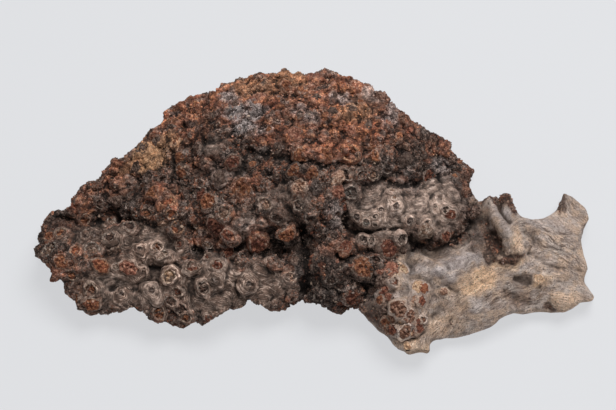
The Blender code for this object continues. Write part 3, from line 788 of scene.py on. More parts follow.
def reliefOf(points, places, grain, reach, wood, under, facing, shares):
    # how far each point rises from the body, and its lump's number
    most, (size, uneven, salt) = body["crustShare"], body["looseCrust"]
    crust = (1 - wood) * (1 - most["grey"] * shares["grey"]) + most["stainAndShade"] * shares["stainAndShade"] ** 2
    crust = crust * (1 - most["under"] * under) * (0.85 + uneven * roughNoise(points, size, salt))
    rise, number = crustRelief(points, crust)
    rise += body["inflate"][0] * (1 - wood) + body["inflate"][1] * wood
    bareWood = (1 - under) * wood
    run = body["fibreRun"]
    along = np.stack([grain, points[:, 0] * run, (points[:, 1] + points[:, 2]) * run], 1)
    size, height = body["woodFibres"]
    rise += bareWood * roughNoise(along, size, 52, 2) * height
    size, height = body["greyFibres"]
    rise += shares["grey"] * softNoise(along, size, 58) * height
    for name, share in (("barkSwell", 1 - wood), ("woodSwell", wood), ("woodRipple", bareWood),
                        ("greySwell", shares["grey"]), ("underSwell", under)):
        rise += share * scaledNoise(points, body[name])
    for height, width, course in woodForms:
        distance = courseDistance(places, course)
        rise += facing * ramp(wood, 0, 0.8) * height * mm * np.exp(-((distance / width) ** 2))
    # each bud stands on a low mound with a furrow round it
    height, width = body["budMound"]
    mound = height * np.exp(-((np.maximum(reach, 0) / width) ** 2))
    depth, away, width = body["budFurrow"]
    furrow = depth * np.exp(-(((reach - away) / width) ** 2))
    rise += (1 - under) * (1 - 0.6 * wood) * (mound - furrow)
    shifted = places + wander(points, body["foldWander"])
    for depth, width, course in folds:
        distance = courseDistance(shifted, course)
        rise -= facing * depth * mm * np.exp(-((distance / width) ** 2))
    return rise - shares["stainAndShade"] * body["stainAndShadeDepth"], number


def shapeBody(obj):
    mesh = obj.data
    points, ends = readPoints(mesh), edgeEnds(mesh)
    normals = averaged(readPoints(mesh, "normal"), ends, 2)
    normals /= np.linalg.norm(normals, axis=1)[:, None]
    places = picturePlaces(points)
    toward = np.array(eye) - points
    slope = np.einsum("ij,ij->i", normals, toward) / np.linalg.norm(toward, axis=1)
    facing = ramp(slope, -0.02, 0.2)
    under = ramp(-normals[:, 2], 0.2, 0.7)
    wood, shares = groundShares(points, places, facing)
    tree = treeOf(mesh)
    found = namedBuds(tree)
    found += extraBuds(mesh, found, {"wood": wood, **shares})
    teethFound = toothBuds(tree)
    print("buds:", len(found))
    spots = np.array([bud["spot"] for bud in found])
    radii = np.array([bud["radius"] for bud in found])
    grain, reach = grainOf(points, places, wood, spots, radii)
    rise, number = reliefOf(points, places, grain, reach, wood, under, facing, shares)
    moved = points + normals * (rise * ramp(points[:, 2], *body["floorFade"]))[:, None]
    moved = reachedTips(moved)
    # past the outline, where the eye doesn't reach, the bark draws in by uneven amounts
    size, depth = body["dents"]
    dents = ramp(-slope, 0.12, 0.45) * ramp(roughNoise(points, size, 35), -0.3, 0.5) * (1 - wood)
    margin = raggedMargin(points, wood, body["margin"]) - depth * dents
    pull = keptInside(moved, margin) - moved
    moved += pull * (1 - wood)[:, None] + averaged(pull, ends, 5) * wood[:, None]
    moved = insideBox(moved)
    writePoints(mesh, moved)

    # values of each point that the materials read, with the hollows between lumps and the broad ones, where
    # the materials paint shade
    hollow = np.clip((rise - averaged(rise, ends, 6)) / mm, -1, 1)
    broad = np.einsum("ij,ij->i", normals, moved - averaged(moved, ends, 60)) / (3 * mm)
    grainPlace = np.stack([grain, points[:, 0], points[:, 1] + points[:, 2]], 1) / mm
    values = {"broad": np.clip(broad, -1, 1), "wood": wood, **shares, "hollow": hollow, "under": under,
              "number": number, "grain": grainPlace}
    for name, numbers in values.items():
        setNumbers(mesh, name, numbers)
    return found + teethFound


foundBuds = shapeBody(burlBody)
print("body shaped")


def meshFrom(name, points, faces, numbers):
    # faces are triangles in one array; numbers are named values of each point
    mesh = bpy.data.meshes.new(name)
    mesh.vertices.add(len(points))
    mesh.vertices.foreach_set("co", points.astype(np.float32).ravel())
    mesh.loops.add(faces.size)
    mesh.loops.foreach_set("vertex_index", faces.astype(np.int32).ravel())
    mesh.polygons.add(len(faces))
    mesh.polygons.foreach_set("loop_start", np.arange(0, faces.size, 3, dtype=np.int32))
    mesh.update(calc_edges=True)
    for key, values in numbers.items():
        setNumbers(mesh, key, values)
    mesh.validate()
    mesh.shade_smooth()
    return newObject(name, mesh)


shareNames = ("wood", *barkShares, "ochre", "stainAndShade", "under")


def readNumbers(mesh, name):
    values = np.empty(len(mesh.vertices), np.float32)
    mesh.attributes[name].data.foreach_get("value", values)
    return values.astype(float)


bodyTree = treeOf(burlBody.data)
bodyPoints = readPoints(burlBody.data)
bodyShares = {name: readNumbers(burlBody.data, name) for name in shareNames}
nearest = KDTree(len(bodyPoints))
for pointIndex, pointPlace in enumerate(bodyPoints):
    nearest.insert(pointPlace, pointIndex)
nearest.balance()


def sharesAt(spots):
    index = np.array([nearest.find(spot)[1] for spot in spots])
    return {name: values[index] for name, values in bodyShares.items()}


# A bud's section: (reach from its middle, height) in radii, from its foot over the rim to its core
budSections = {
    "rings": ((1.42, -0.42), (1.28, -0.16), (1.14, 0.1), (1.04, 0.28), (0.96, 0.38), (0.88, 0.42),
              (0.79, 0.37), (0.71, 0.2), (0.63, 0.04), (0.54, 0.02), (0.43, 0.08), (0.32, 0.12),
              (0.21, 0.14), (0.1, 0.12)),
    "scabs": ((1.34, -0.42), (1.2, -0.12), (1.08, 0.1), (0.97, 0.24), (0.86, 0.3), (0.76, 0.32),
              (0.66, 0.34), (0.56, 0.35), (0.46, 0.36), (0.36, 0.36), (0.24, 0.37), (0.12, 0.36)),
    "swirls": ((1.55, -0.4), (1.36, -0.16), (1.18, 0.04), (1.0, 0.19), (0.84, 0.29), (0.68, 0.35),
               (0.54, 0.36), (0.42, 0.31), (0.31, 0.22), (0.2, 0.16), (0.1, 0.15)),
    "nubs": ((1.5, -0.36), (1.25, -0.06), (1.05, 0.14), (0.85, 0.32), (0.66, 0.46), (0.46, 0.55),
             (0.24, 0.6)),
    "lumps": ((1.4, -0.5), (1.2, -0.1), (1.05, 0.16), (0.88, 0.4), (0.68, 0.58), (0.46, 0.7),
              (0.24, 0.75)),
}
# where a bud's core ends in radii, how pale its rim is, and how dark the painted shade in the crack between
# them
budMasks = {"rings": (0.58, 1.0, 0.85), "swirls": (0.22, 0.2, 0.4), "scabs": (0.84, 0.5, 0.35),
            "nubs": (1.15, 0, 0), "lumps": (-1, 0, 0)}
budLooks = {
    # core colour, second core colour, rim colour
    "rust": ((0.17, 0.058, 0.03), (0.42, 0.19, 0.095), (0.46, 0.34, 0.26)),
    "red": ((0.11, 0.036, 0.023), (0.27, 0.11, 0.066), (0.42, 0.31, 0.24)),
    "dark": ((0.045, 0.027, 0.021), (0.15, 0.09, 0.066), (0.34, 0.27, 0.225)),
    "grey": ((0.10, 0.072, 0.06), (0.24, 0.19, 0.165), (0.30, 0.245, 0.215)),
    "pale": ((0.20, 0.12, 0.08), (0.46, 0.37, 0.30), (0.46, 0.385, 0.33)),
    "tan": ((0.27, 0.15, 0.095), (0.52, 0.36, 0.27), (0.48, 0.37, 0.29)),
    "star": ((0.028, 0.019, 0.015), (0.12, 0.08, 0.062), (0.48, 0.385, 0.32)),
    "disc": ((0.13, 0.115, 0.10), (0.20, 0.18, 0.155), (0.25, 0.22, 0.19)),
    "pinkish": ((0.22, 0.085, 0.055), (0.42, 0.22, 0.15), (0.26, 0.165, 0.125)),
    "orange": ((0.25, 0.075, 0.038), (0.5, 0.215, 0.11), (0.58, 0.34, 0.21)),
    "cream": ((0.44, 0.27, 0.16), (0.78, 0.57, 0.38), (0.6, 0.45, 0.34)),
    "ledge": ((0.14, 0.06, 0.035), (0.44, 0.26, 0.18), (0.66, 0.52, 0.43)),
    "barky": ((0.07, 0.043, 0.032), (0.2, 0.14, 0.11), (0.13, 0.095, 0.078)),
}
budDetail = {
    "named": {"sides": 34, "salt": 23},
    "extra": {"sides": 22, "salt": 24},
    "teeth": {"sides": 18, "salt": 25},
    # how far noise moves the core, the rim and the flank, in radii
    "rough": {"rings": (0.3, 0.1, 0.08), "swirls": (0.3, 0.2, 0.1), "scabs": (0.36, 0.24, 0.12),
              "nubs": (0.4, 0.3, 0.15), "lumps": (0.45, 0.4, 0.2)},
    "grain": (2.1 * mm, 1.05 * mm),
    "margin": (2.2, 1.2),      # px that the buds of bark and of wood may stand past the outline
    "lean": 0.2,
    "stretch": (0.84, 1.16),
    # uneven outlines and notched rims: least and most, how fast waves fall off, waves a turn
    "waves": (0.03, 0.12, 0.3, (2, 3, 5, 7)),
    "ringWaves": 0.6,          # how much of those waves the rings get
    "notches": (0.1, 0.4, 0.5, (1, 2, 4, 7)),
    "rimAt": (0.93, 0.2),      # a ring's rim in radii, and how far its notches reach to either side
    "starPit": (0.62, 0.35),   # where a star's pit begins, and how steep it is
    "brightness": (0.7, 1.25),
}


def shellFaces(levels, sides):
    # triangles between rings of points, closed by the top and the foot that follow them
    top, foot, last = levels * sides, levels * sides + 1, (levels - 1) * sides
    faces = []
    for level in range(levels - 1):
        for side in range(sides):
            a, b = level * sides + side, level * sides + (side + 1) % sides
            faces += [(a, b, b + sides), (a, b + sides, a + sides)]
    for side in range(sides):
        faces.append((last + side, last + (side + 1) % sides, top))
        faces.append((side, foot, (side + 1) % sides))
    return np.array(faces)


def budPart(bud, draw, sides):
    # its points and faces, and how far each point is from the middle in radii and round it
    section = budSections[bud["way"]]
    radius = bud["radius"]
    isRing = bud["way"] == "rings"
    spot = bodyTree.find_nearest(bud["spot"])[0]
    lean = Vector([draw.uniform(-1, 1) for _ in range(3)]) * budDetail["lean"]
    axis = (Vector(bud["normal"]) + lean).normalized()
    across = axis.orthogonal().normalized()
    along = axis.cross(across)
    stretch, turn = draw.uniform(*budDetail["stretch"]), draw.uniform(0, math.tau)
    angles = np.arange(sides) / sides * math.tau

    def waves(least, most, fall, counts):
        sizes = [(draw.uniform(least, most) / k**fall, k, draw.uniform(0, math.tau)) for k in counts]
        return sum(size * np.sin(k * angles + shift) for size, k, shift in sizes)

    wave = (budDetail["ringWaves"] if isRing else 1) * waves(*budDetail["waves"])
    notch = np.clip(waves(*budDetail["notches"]) + 0.1, -0.1, 0.45)
    (rimReach, rimWidth), (pitReach, pitSlope) = budDetail["rimAt"], budDetail["starPit"]
    points, steps, turns = [], [], []
    for reach, height in section:
        local = reach * (1 + wave * min(1.2, 0.4 + reach))
        x, y = local * np.cos(angles) * stretch, local * np.sin(angles) / stretch
        onRim = max(0, 1 - abs(reach - rimReach) / rimWidth) if isRing else 0
        lift = height - onRim * notch
        if bud["look"] == "star":
            lift = lift - pitSlope * max(0, pitReach - reach)
        flat = np.outer(x * math.cos(turn) + y * math.sin(turn), across)
        flat += np.outer(y * math.cos(turn) - x * math.sin(turn), along)
        points.append(np.array(spot) + (flat + np.outer(lift * np.ones(sides), axis)) * radius)
        steps += [reach] * sides
        turns += list(angles)
    points.append([spot + axis * (section[-1][1] + 0.02) * radius, spot - axis * 0.8 * radius])
    points = np.concatenate([np.array(group) for group in points])
    steps, turns = np.array(steps + [0, 2]), np.array(turns + [0, 0])
    core, rim, flank = budDetail["rough"][bud["way"]]
    rough = np.interp(steps, (0.5, 0.85, 1.0, 1.2, 1.5), (core, rim, rim, flank, 0))
    bump = sum(softNoise(points, size, 81 + i) * (0.8 ** i) for i, size in enumerate(budDetail["grain"]))
    points += np.outer(bump * rough * radius, axis)
    return points, shellFaces(len(section), sides), steps, turns


def makeBuds(name, group):
    # one mesh of all buds of a group
    found = [bud for bud in foundBuds if bud["group"] == group]
    settings = budDetail[group]
    draw = random.Random(settings["salt"])
    points, faces = [], []
    keys = ("step", "tone", "core", "core2", "rim", "grain", "edge", "rimShare", "crackShade")
    numbers = {key: [] for key in keys}
    shares = sharesAt([bud["spot"] for bud in found])
    local = {key: [] for key in shareNames}
    total = 0
    for order, bud in enumerate(found):
        part, sides, steps, turns = budPart(bud, draw, settings["sides"])
        points.append(part)
        faces.append(sides + total)
        total += len(part)
        brightness = draw.uniform(*budDetail["brightness"])
        for key, colour in zip(("core", "core2", "rim"), budLooks[bud["look"]]):
            numbers[key].append(np.tile(np.array(colour) * brightness, (len(part), 1)))
        for key, value in zip(("edge", "rimShare", "crackShade"), budMasks[bud["way"]]):
            numbers[key].append(np.full(len(part), value))
        numbers["step"].append(steps)
        numbers["tone"].append(np.full(len(part), draw.random()))
        out = steps * bud["radius"] / mm
        rings = np.stack([out + order * 17, out * np.cos(turns), out * np.sin(turns)], 1)
        numbers["grain"].append(rings * (0.8, 1.3, 1.3))
        for key in shareNames:
            local[key].append(np.full(len(part), shares[key][order]))
    points = np.concatenate(points)
    wood = np.concatenate(local["wood"])
    points = keptInside(points, raggedMargin(points, wood, budDetail["margin"]))
    points = insideBox(points)
    joined = {key: np.concatenate(values) for key, values in {**numbers, **local}.items()}
    print(name, "triangles:", sum(len(part) for part in faces))
    return meshFrom(name, points, np.concatenate(faces), joined)


budRings = makeBuds("budRings", "named")
budKnobs = makeBuds("budKnobs", "extra")
budTeeth = makeBuds("budTeeth", "teeth")


crumbs = {
    "front": {"count": 9200, "size": (0.45 * mm, 1.6 * mm), "front": True, "salt": 61},
    "back": {"count": 8200, "size": (0.6 * mm, 1.9 * mm), "front": False, "salt": 62},
    "shapes": 24,
    "backOnFront": 0.25,       # how many of the back's crumbs go to what the eye sees
    "pastOutline": 0.5,        # px
    "grey": 0.96,              # how much of them grey bark takes away
    # stains, and the painted-shade patches among them
    "stainAndShade": 1.2,              # how many the wood's stains get
}


def crumbShapes(draw):
    # uneven pebbles and slivers of 20 flat sides
    shape = bmesh.new()
    bmesh.ops.create_icosphere(shape, subdivisions=1, radius=1)
    ball = np.array([vertex.co for vertex in shape.verts])
    faces = np.array([[vertex.index for vertex in face.verts] for face in shape.faces])
    shape.free()
    made = []
    for order in range(crumbs["shapes"]):
        push = draw.uniform(0.65, 1.25, (len(ball), 1))
        isSliver = order % 3 == 0
        scale = draw.uniform((1.1, 0.5, 0.25), (1.9, 0.9, 0.4)) if isSliver else draw.uniform(0.7, 1.2, 3)
        made.append(ball * push * scale)
    return made, faces


def crumbSpots(draw, settings):
    # spots drawn on the crust, with the body's normals there and its shares
    mesh = burlBody.data
    corners = np.empty(len(mesh.polygons) * 3, np.int32)
    mesh.polygons.foreach_get("vertices", corners)
    corners = corners.reshape(-1, 3)
    places = bodyPoints[corners]
    cross = np.cross(places[:, 1] - places[:, 0], places[:, 2] - places[:, 0])
    area = np.linalg.norm(cross, axis=1) / 2
    normals = cross / np.maximum(area * 2, 1e-12)[:, None]
    middle = places.mean(axis=1)
    share = {key: values[corners].mean(axis=1) for key, values in bodyShares.items()}
    crusty = (1 - share["wood"]) ** 2 * (1 - crumbs["grey"] * share["grey"])
    crusty += crumbs["stainAndShade"] * share["stainAndShade"] ** 3
    seen = np.einsum("ij,ij->i", normals, np.array(eye) - middle) > 0
    weight = area * crusty * (1 - share["under"])
    weight = weight * (seen if settings["front"] else np.where(seen, crumbs["backOnFront"], 1.0))
    chosen = draw.choice(len(middle), settings["count"], p=weight / weight.sum())
    a, b = draw.random(len(chosen)), draw.random(len(chosen))
    a, b = np.where(a + b > 1, 1 - a, a), np.where(a + b > 1, 1 - b, b)
    spots = places[chosen, 0] + a[:, None] * (places[chosen, 1] - places[chosen, 0])
    spots += b[:, None] * (places[chosen, 2] - places[chosen, 0])
    _, gap, outside = outlineGap(picturePlaces(spots))
    kept = ~outside | (gap < crumbs["pastOutline"])
    chosen = chosen[kept]
    return spots[kept], normals[chosen], {key: values[chosen] for key, values in share.items()}


def makeCrumbs(name, settings):
    draw = np.random.default_rng(settings["salt"])
    spots, normals, share = crumbSpots(draw, settings)
    shapes, faces = crumbShapes(draw)
    least, most = settings["size"]
    points, tones, allFaces = [], [], []
    for order, (spot, normal) in enumerate(zip(spots, normals)):
        size = least + (most - least) * draw.random() ** 1.8
        turn = np.array(Matrix.Rotation(draw.uniform(0, math.tau), 3, Vector(draw.normal(size=3))))
        pebble = shapes[draw.integers(len(shapes))] @ turn.T * size
        points.append(pebble + spot + normal * size * draw.uniform(-0.35, 0.3))
        tones.append(np.full(len(pebble), draw.random()))
        allFaces.append(faces + order * len(pebble))
    numbers = {key: np.repeat(values, len(shapes[0])) for key, values in share.items()}
    numbers["tone"] = np.concatenate(tones)
    made = meshFrom(name, insideBox(np.concatenate(points)), np.concatenate(allFaces), numbers)
    made.data.shade_flat()
    return made


crumbsFront = makeCrumbs("barkCrumbsFront", crumbs["front"])
crumbsBack = makeCrumbs("barkCrumbsBack", crumbs["back"])
print("crumbs made")


# Shader groups. Each puts out colours, masks or heights that change over the surface

inMillimetres = (1000.0,) * 3


def newGroup(name, vectors, values, outputs):
    # vectors are input names; values are input names with what they stand at; outputs have their kind
    group = bpy.data.node_groups.new(name, "ShaderNodeTree")
    kinds = {"colour": "NodeSocketColor", "value": "NodeSocketFloat"}
    for key in vectors:
        group.interface.new_socket(key, in_out="INPUT", socket_type="NodeSocketVector")
    for key, value in values.items():
        socket = group.interface.new_socket(key, in_out="INPUT", socket_type="NodeSocketFloat")
        socket.default_value = value
    for key, kind in outputs.items():
        group.interface.new_socket(key, in_out="OUTPUT", socket_type=kinds[kind])
    return group, group.nodes.new("NodeGroupInput"), group.nodes.new("NodeGroupOutput")


def connect(tree, source, target):
    # source is a socket, a number or a colour
    if isinstance(source, bpy.types.NodeSocket):
        tree.links.new(source, target)
    elif isinstance(source, (tuple, list)) and len(source) == 3 and target.type == "RGBA":
        target.default_value = (*source, 1)
    else:
        target.default_value = source


def maths(tree, operation, *values, clamp=False):
    node = tree.nodes.new("ShaderNodeMath")
    node.operation = operation
    node.use_clamp = clamp
    for value, socket in zip(values, node.inputs):
        connect(tree, value, socket)
    return node.outputs[0]


def times(tree, a, b, clamp=False):
    return maths(tree, "MULTIPLY", a, b, clamp=clamp)


def scaled(tree, vector, factor):
    node = tree.nodes.new("ShaderNodeVectorMath")
    node.operation = "SCALE"
    connect(tree, vector, node.inputs[0])
    connect(tree, factor, node.inputs["Scale"])
    return node.outputs[0]


def spread(tree, value, low, high, outLow=0.0, outHigh=1.0):
    node = tree.nodes.new("ShaderNodeMapRange")
    node.interpolation_type = "SMOOTHSTEP"
    for socket, number in zip(node.inputs, (value, low, high, outLow, outHigh)):
        connect(tree, number, socket)
    return node.outputs[0]


def mixed(tree, share, a, b, blend="MIX"):
    node = tree.nodes.new("ShaderNodeMix")
    node.data_type = "RGBA"
    node.blend_type = blend
    connect(tree, share, node.inputs[0])
    connect(tree, a, node.inputs[6])
    connect(tree, b, node.inputs[7])
    return node.outputs[2]


def noiseNode(tree, vector, scale, detail=3.0, roughness=0.6, distortion=0.0):
    node = tree.nodes.new("ShaderNodeTexNoise")
    connect(tree, vector, node.inputs["Vector"])
    settings = {"Scale": scale, "Detail": detail, "Roughness": roughness, "Distortion": distortion}
    for key, value in settings.items():
        node.inputs[key].default_value = value
    return node.outputs["Fac"]


def cellNode(tree, vector, scale, output="Distance"):
    node = tree.nodes.new("ShaderNodeTexVoronoi")
    connect(tree, vector, node.inputs["Vector"])
    node.inputs["Scale"].default_value = scale
    return node.outputs[output]


def stretched(tree, vector, factors):
    node = tree.nodes.new("ShaderNodeVectorMath")
    node.operation = "MULTIPLY"
    connect(tree, vector, node.inputs[0])
    node.inputs[1].default_value = factors
    return node.outputs[0]


def placed(tree, groupTree, values):
    # a group with its inputs linked or set
    node = tree.nodes.new("ShaderNodeGroup")
    node.node_tree = groupTree
    for key, value in values.items():
        connect(tree, value, node.inputs[key])
    return node.outputs


def putOut(tree, outside, values):
    for key, value in values.items():
        tree.links.new(value, outside.inputs[key])


def fibreGroup():
    # thin uneven lines along the grain: a mask of light fibres and one of dark gaps
    group, inside, outside = newGroup(
        "fibres", ["Grain"], {"Fineness": 1.0}, {"Light": "value", "Gap": "value"})
    along = scaled(group, inside.outputs["Grain"], inside.outputs["Fineness"])
    fine = noiseNode(group, stretched(group, along, (1.0, 0.12, 0.12)), 1.0, 4.0, 0.65, 0.4)
    broad = noiseNode(group, stretched(group, along, (0.34, 0.05, 0.05)), 1.0, 3.0, 0.6, 0.3)
    both = maths(group, "ADD", times(group, fine, 0.62), times(group, broad, 0.38))
    putOut(group, outside, {"Light": spread(group, both, 0.49, 0.58),
                            "Gap": spread(group, both, 0.475, 0.39)})
    return group


def grainyGroup():
    # crumbly bark: light and dark grains, and the height that goes with them
    group, inside, outside = newGroup(
        "grains", ["Place"], {"Size": 2.0},
        {"Mask": "value", "Number": "value", "Height": "value", "Broad": "value"})
    place = scaled(group, inside.outputs["Place"], maths(group, "DIVIDE", 1000.0, inside.outputs["Size"]))
    pits = maths(group, "ADD", times(group, cellNode(group, place, 1.0), 0.7),
                 times(group, cellNode(group, place, 2.3), 0.4))
    fine = noiseNode(group, place, 1.6, 5.0, 0.72)
    broad = noiseNode(group, place, 0.22, 3.0, 0.6)
    number = group.nodes.new("ShaderNodeSeparateColor")
    group.links.new(cellNode(group, place, 1.0, "Color"), number.inputs[0])
    height = maths(group, "SUBTRACT", maths(group, "ADD", fine, 0.6), pits)
    putOut(group, outside, {"Height": height, "Mask": spread(group, height, 0.36, 0.76),
                            "Number": number.outputs[0], "Broad": spread(group, broad, 0.36, 0.64)})
    return group


fibres, grains = fibreGroup(), grainyGroup()

# The bark's colours: pairs for the gaps and tops of grains or fibres, and single ones laid over them
barkPairs = {
    "brown": ((0.046, 0.026, 0.019), (0.21, 0.126, 0.094)),
    "worn": ((0.065, 0.044, 0.036), (0.35, 0.25, 0.207)),
    "reddish": ((0.065, 0.024, 0.014), (0.28, 0.1, 0.052)),
    "dark": ((0.017, 0.012, 0.01), (0.15, 0.1, 0.08)),
    "rusty": ((0.35, 0.115, 0.06), (0.66, 0.285, 0.135)),
    "tan": ((0.36, 0.19, 0.1), (0.67, 0.385, 0.215)),
    "ashen": ((0.055, 0.041, 0.036), (0.33, 0.25, 0.215)),
    "ash": ((0.17, 0.14, 0.132), (0.58, 0.49, 0.46)),
    "silver": ((0.145, 0.09, 0.067), (0.53, 0.39, 0.315)),
    "pale": ((0.38, 0.27, 0.215), (0.61, 0.465, 0.39)),
    # this pair is dirt together with painted shade, laid in the hollows
    "dirtAndShade": ((0.012, 0.009, 0.0075), (0.06, 0.026, 0.017)),  # on brown bark and on rust
}
barkTones = {
    "rustGap": (0.235, 0.085, 0.05),
    "rustPink": (0.5, 0.31, 0.23),
    "rustRed": (0.4, 0.1, 0.048),
    "rustDark": (0.2, 0.08, 0.05),
    "silverGap": (0.034, 0.022, 0.017),
    "silverDull": (0.085, 0.053, 0.039),
    "paleGap": (0.1, 0.067, 0.053),
    # painted shade for the broad valleys
    "broadShade": (0.016, 0.011, 0.009),
    # also the pale tone of the painted highlight on raised grains
    "worn": (0.6, 0.48, 0.4),
    "shadow": (0.012, 0.0085, 0.007),
}


def barkGroup():
    group, inside, outside = newGroup(
        "barkColour", ["Place", "Grain"],
        {"Rust": 0.0, "Tan": 0.0, "Grey": 0.0, "Bright": 0.0, "Dark": 0.0, "Hollow": 0.0, "Broad": 0.0,
         "Tone": 0.5},
        {"Colour": "colour", "Height": "value", "Rough": "value"})
    ins = inside.outputs
    grain = placed(group, grains, {"Place": ins["Place"], "Size": 1.7})
    fibre = placed(group, fibres, {"Grain": ins["Grain"], "Fineness": 1.15})
    mask, number, cloud = grain["Mask"], grain["Number"], grain["Broad"]

    def grainy(name, share=mask):
        return mixed(group, share, *barkPairs[name])

    def over(under, share, name):
        return mixed(group, share, under, barkTones[name])

    # brown crumbly bark with a few pale grains
    wornShare = times(group, spread(group, number, 0.6, 0.9), 0.75)
    brown = mixed(group, wornShare, grainy("brown"), grainy("worn"))
    brown = mixed(group, spread(group, number, 0.24, 0.1), brown, grainy("reddish"))
    hue = noiseNode(group, ins["Place"], 60.0, 3.0, 0.6)
    rustTone = over(grainy("rusty", cloud), spread(group, hue, 0.52, 0.64, 0.0, 0.75), "rustPink")
    rustTone = over(rustTone, spread(group, hue, 0.46, 0.36, 0.0, 0.7), "rustRed")
    rustTone = over(rustTone, spread(group, number, 0.22, 0.1), "rustDark")
    rust = mixed(group, mask, barkTones["rustGap"], rustTone)
    # lumps differ in tone and hue, some rusty and some ashen
    patch = noiseNode(group, ins["Place"], 85.0, 2.0, 0.5)
    ashen = grainy("ashen")
    colour = mixed(group, times(group, ins["Dark"], 0.9), brown, grainy("dark"))
    colour = mixed(group, times(group, spread(group, patch, 0.58, 0.66), 0.75), colour, ashen)
    colour = mixed(group, times(group, spread(group, patch, 0.42, 0.36), 0.6), colour, rust)
    rust = mixed(group, times(group, spread(group, patch, 0.56, 0.66), 0.65), rust, ashen)
    patchy = maths(group, "MULTIPLY_ADD", cloud, 0.55, 0.6)
    colour = mixed(group, times(group, ins["Rust"], patchy, True), colour, rust)
    colour = mixed(group, ins["Tan"], colour, grainy("tan"))
    ashShare = times(group, ins["Bright"], maths(group, "SUBTRACT", 1.0, ins["Grey"]))
    ashShare = times(group, ashShare, spread(group, patch, 0.3, 0.46, 0.35, 1.0))
    colour = mixed(group, ashShare, colour, grainy("ash"))
    # silvery fibrous bark
    silver = over(grainy("silver", fibre["Light"]), fibre["Gap"], "silverGap")
    silver = over(silver, times(group, cloud, 0.5), "silverDull")
    pale = over(grainy("pale", fibre["Light"]), times(group, fibre["Gap"], 0.6), "paleGap")
    colour = mixed(group, ins["Grey"], colour, mixed(group, ins["Bright"], silver, pale))
    # painted shade, partly dirt, darkens the hollows and the broad valleys, and raised grains get a painted
    # highlight
    low = spread(group, ins["Hollow"], 0.05, -0.75)
    colour = mixed(group, times(group, low, 0.8), colour, grainy("dirtAndShade", ins["Rust"]))
    # painted shade in the broad valleys
    colour = over(colour, times(group, spread(group, ins["Broad"], -0.05, -0.75), 0.7), "broadShade")
    # painted highlight on the raised grains
    high = spread(group, ins["Hollow"], 0.2, 1.0)
    lit = mixed(group, 0.4, colour, barkTones["worn"], "SCREEN")
    colour = mixed(group, times(group, high, 0.3), colour, lit)
    colour = mixed(group, 1.0, colour, maths(group, "MULTIPLY_ADD", ins["Tone"], 0.75, 0.66), "MULTIPLY")
    mottle = spread(group, noiseNode(group, ins["Place"], 190.0, 2.0, 0.55), 0.38, 0.64, 0.55, 1.4)
    mottle = mixed(group, ins["Grey"], mottle, spread(group, mottle, 0.5, 1.4, 0.62, 1.3))
    colour = mixed(group, 1.0, colour, mottle, "MULTIPLY")
    # painted shadow, strongest in the dark patches
    colour = over(colour, times(group, maths(group, "POWER", ins["Dark"], 2.0), 0.4), "shadow")
    height = maths(group, "ADD", grain["Height"], times(group, fibre["Light"], 0.35))
    putOut(group, outside, {"Colour": colour, "Height": height,
                            "Rough": spread(group, mask, 0.0, 1.0, 0.95, 0.72)})
    return group


# The weathered wood's colours, in the same way
woodPairs = {
    "grey": ((0.4, 0.305, 0.255), (0.585, 0.48, 0.42)),
    "lilac": ((0.4, 0.34, 0.325), (0.6, 0.525, 0.51)),
    "ochre": ((0.84, 0.54, 0.34), (0.98, 0.72, 0.5)),
    # dark bark colour of the stains, also used as painted shadow
    "stainAndShade": ((0.022, 0.01, 0.007), (0.16, 0.065, 0.04)),
}
woodTones = {
    "warm": (0.66, 0.46, 0.325),
    "fibre": (0.7, 0.58, 0.5),
    "gap": (0.13, 0.09, 0.071),
    "ochreGap": (0.26, 0.13, 0.07),
    "line": (0.12, 0.068, 0.047),
    "stainAndShadeGrain": (0.3, 0.18, 0.125),
    "speck": (0.08, 0.053, 0.042),
    # painted shade for the hollows
    "hollow": (0.06, 0.04, 0.031),
    # painted shade for the broad valleys
    "broadShade": (0.07, 0.047, 0.036),
}


